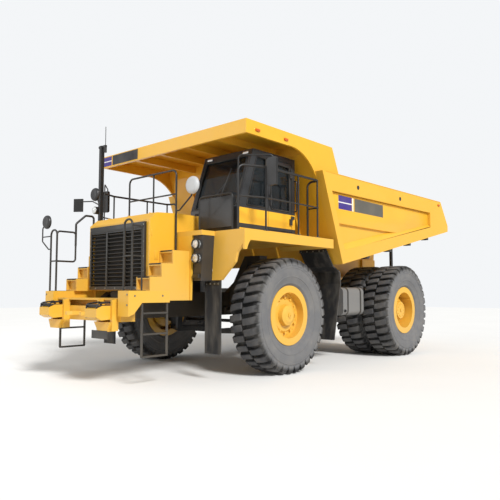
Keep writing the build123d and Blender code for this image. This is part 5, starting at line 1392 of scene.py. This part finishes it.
class TRUCK_OT_stage(bpy.types.Operator):
    """Set the floor, the lights and the camera"""

    bl_idname = "truck.stage"
    bl_label = "Stage"

    def execute(self, context):
        """Pale floor, soft light from the left, camera at the photograph's angle."""
        sizes = context.scene.truck_stage
        bm = bmesh.new()
        bmesh.ops.create_grid(bm, x_segments=8, y_segments=8, size=sizes.floor / 2)
        mesh = bpy.data.meshes.new("studio_floor")
        bm.to_mesh(mesh)
        bm.free()
        mesh.materials.append(bpy.data.materials["matt_studio_floor"])
        staged = [self.add(context, "studio_floor", mesh)]
        key = bpy.data.lights.new("key_light", "SUN")
        key.angle = radians(14)
        key.energy = 3.5
        fill = bpy.data.lights.new("fill_light", "AREA")
        fill.size = 9.0
        fill.energy = 500
        for lamp, place in ((key, Vector((13, -4, 12))), (fill, Vector((-8, -14, 7)))):
            light = self.add(context, lamp.name, lamp)
            light.location = place
            aim = Vector((0, 0, 1.5)) - place
            light.rotation_euler = aim.to_track_quat("-Z", "Y").to_euler()
            staged.append(light)

        world = bpy.data.worlds.new("studio")
        world.use_nodes = True
        tree = world.node_tree
        tree.nodes.clear()
        # The backdrop looks white while the light it gives stays low
        seen = add_node(tree, "LightPath", output="Is Camera Ray")
        strength = add_node(tree, "MapRange", {0: seen, 3: 0.5, 4: 0.98})
        sky = add_node(tree, "Background", {"Color": linear("#F6F8FA"), "Strength": strength})
        add_node(tree, "OutputWorld", {"Surface": sky})
        context.scene.world = world

        lens = bpy.data.cameras.new("camera")
        lens.lens = sizes.lens
        lens.sensor_width = 36
        lens.clip_end = 200
        camera = self.add(context, "camera", lens)
        camera.location = sizes.place
        camera.rotation_euler = (pi / 2 + sizes.pitch, 0, sizes.heading)
        context.scene.camera = camera
        context.scene.view_settings.view_transform = "Standard"
        return {"FINISHED"}

    def add(self, context, name, data):
        """Links a new object to the scene."""
        thing = bpy.data.objects.new(name, data)
        context.scene.collection.objects.link(thing)
        return thing


class TRUCK_PT_panel(bpy.types.Panel):
    """Lists the operators and sizes"""

    bl_idname = "TRUCK_PT_panel"
    bl_label = "Dump truck"
    bl_space_type = "VIEW_3D"
    bl_region_type = "UI"
    bl_category = "Dump truck"

    def draw(self, context):
        """Sizes and colours first, then a button for each operator."""
        for group in GROUPS:
            box = self.layout.box()
            settings = getattr(context.scene, group)
            for name in settings.bl_rna.properties.keys():
                if name not in {"rna_type", "name"}:
                    box.prop(settings, name)
        for operator in OPERATORS:
            self.layout.operator(operator.bl_idname)


GROUPS = {
    "truck_colours": TruckColours,
    "truck_tyres": TyreSizes,
    "truck_trim": TrimSizes,
    "truck_seat": SeatSizes,
    "truck_stage": StageSizes,
}
OPERATORS = (
    TRUCK_OT_finishes,
    TRUCK_OT_tyres,
    TRUCK_OT_wheel_hardware,
    TRUCK_OT_body_trim,
    TRUCK_OT_front_end,
    TRUCK_OT_cab_trim,
    TRUCK_OT_cab_inside,
    TRUCK_OT_mirror_faces,
    TRUCK_OT_walkways,
    TRUCK_OT_running_gear,
    TRUCK_OT_tanks,
    TRUCK_OT_seat,
    TRUCK_OT_stage,
)


def register():
    """Registers the classes and hangs the settings on the scene."""
    for name, group in GROUPS.items():
        bpy.utils.register_class(group)
        setattr(bpy.types.Scene, name, PointerProperty(type=group))
    for operator in OPERATORS:
        bpy.utils.register_class(operator)
    bpy.utils.register_class(TRUCK_PT_panel)


def unregister():
    """Takes the classes and settings away again."""
    bpy.utils.unregister_class(TRUCK_PT_panel)
    for operator in reversed(OPERATORS):
        bpy.utils.unregister_class(operator)
    for name, group in reversed(GROUPS.items()):
        delattr(bpy.types.Scene, name)
        bpy.utils.unregister_class(group)


def main():
    """Runs every operator in order."""
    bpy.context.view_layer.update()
    register()
    bpy.ops.truck.finishes()
    bpy.ops.truck.tyres()
    bpy.ops.truck.wheel_hardware()
    bpy.ops.truck.body_trim()
    bpy.ops.truck.front_end()
    bpy.ops.truck.cab_trim()
    bpy.ops.truck.cab_inside()
    bpy.ops.truck.mirror_faces()
    bpy.ops.truck.walkways()
    bpy.ops.truck.running_gear()
    bpy.ops.truck.tanks()
    bpy.ops.truck.seat()
    bpy.ops.truck.stage()


if __name__ == "__main__":
    main()
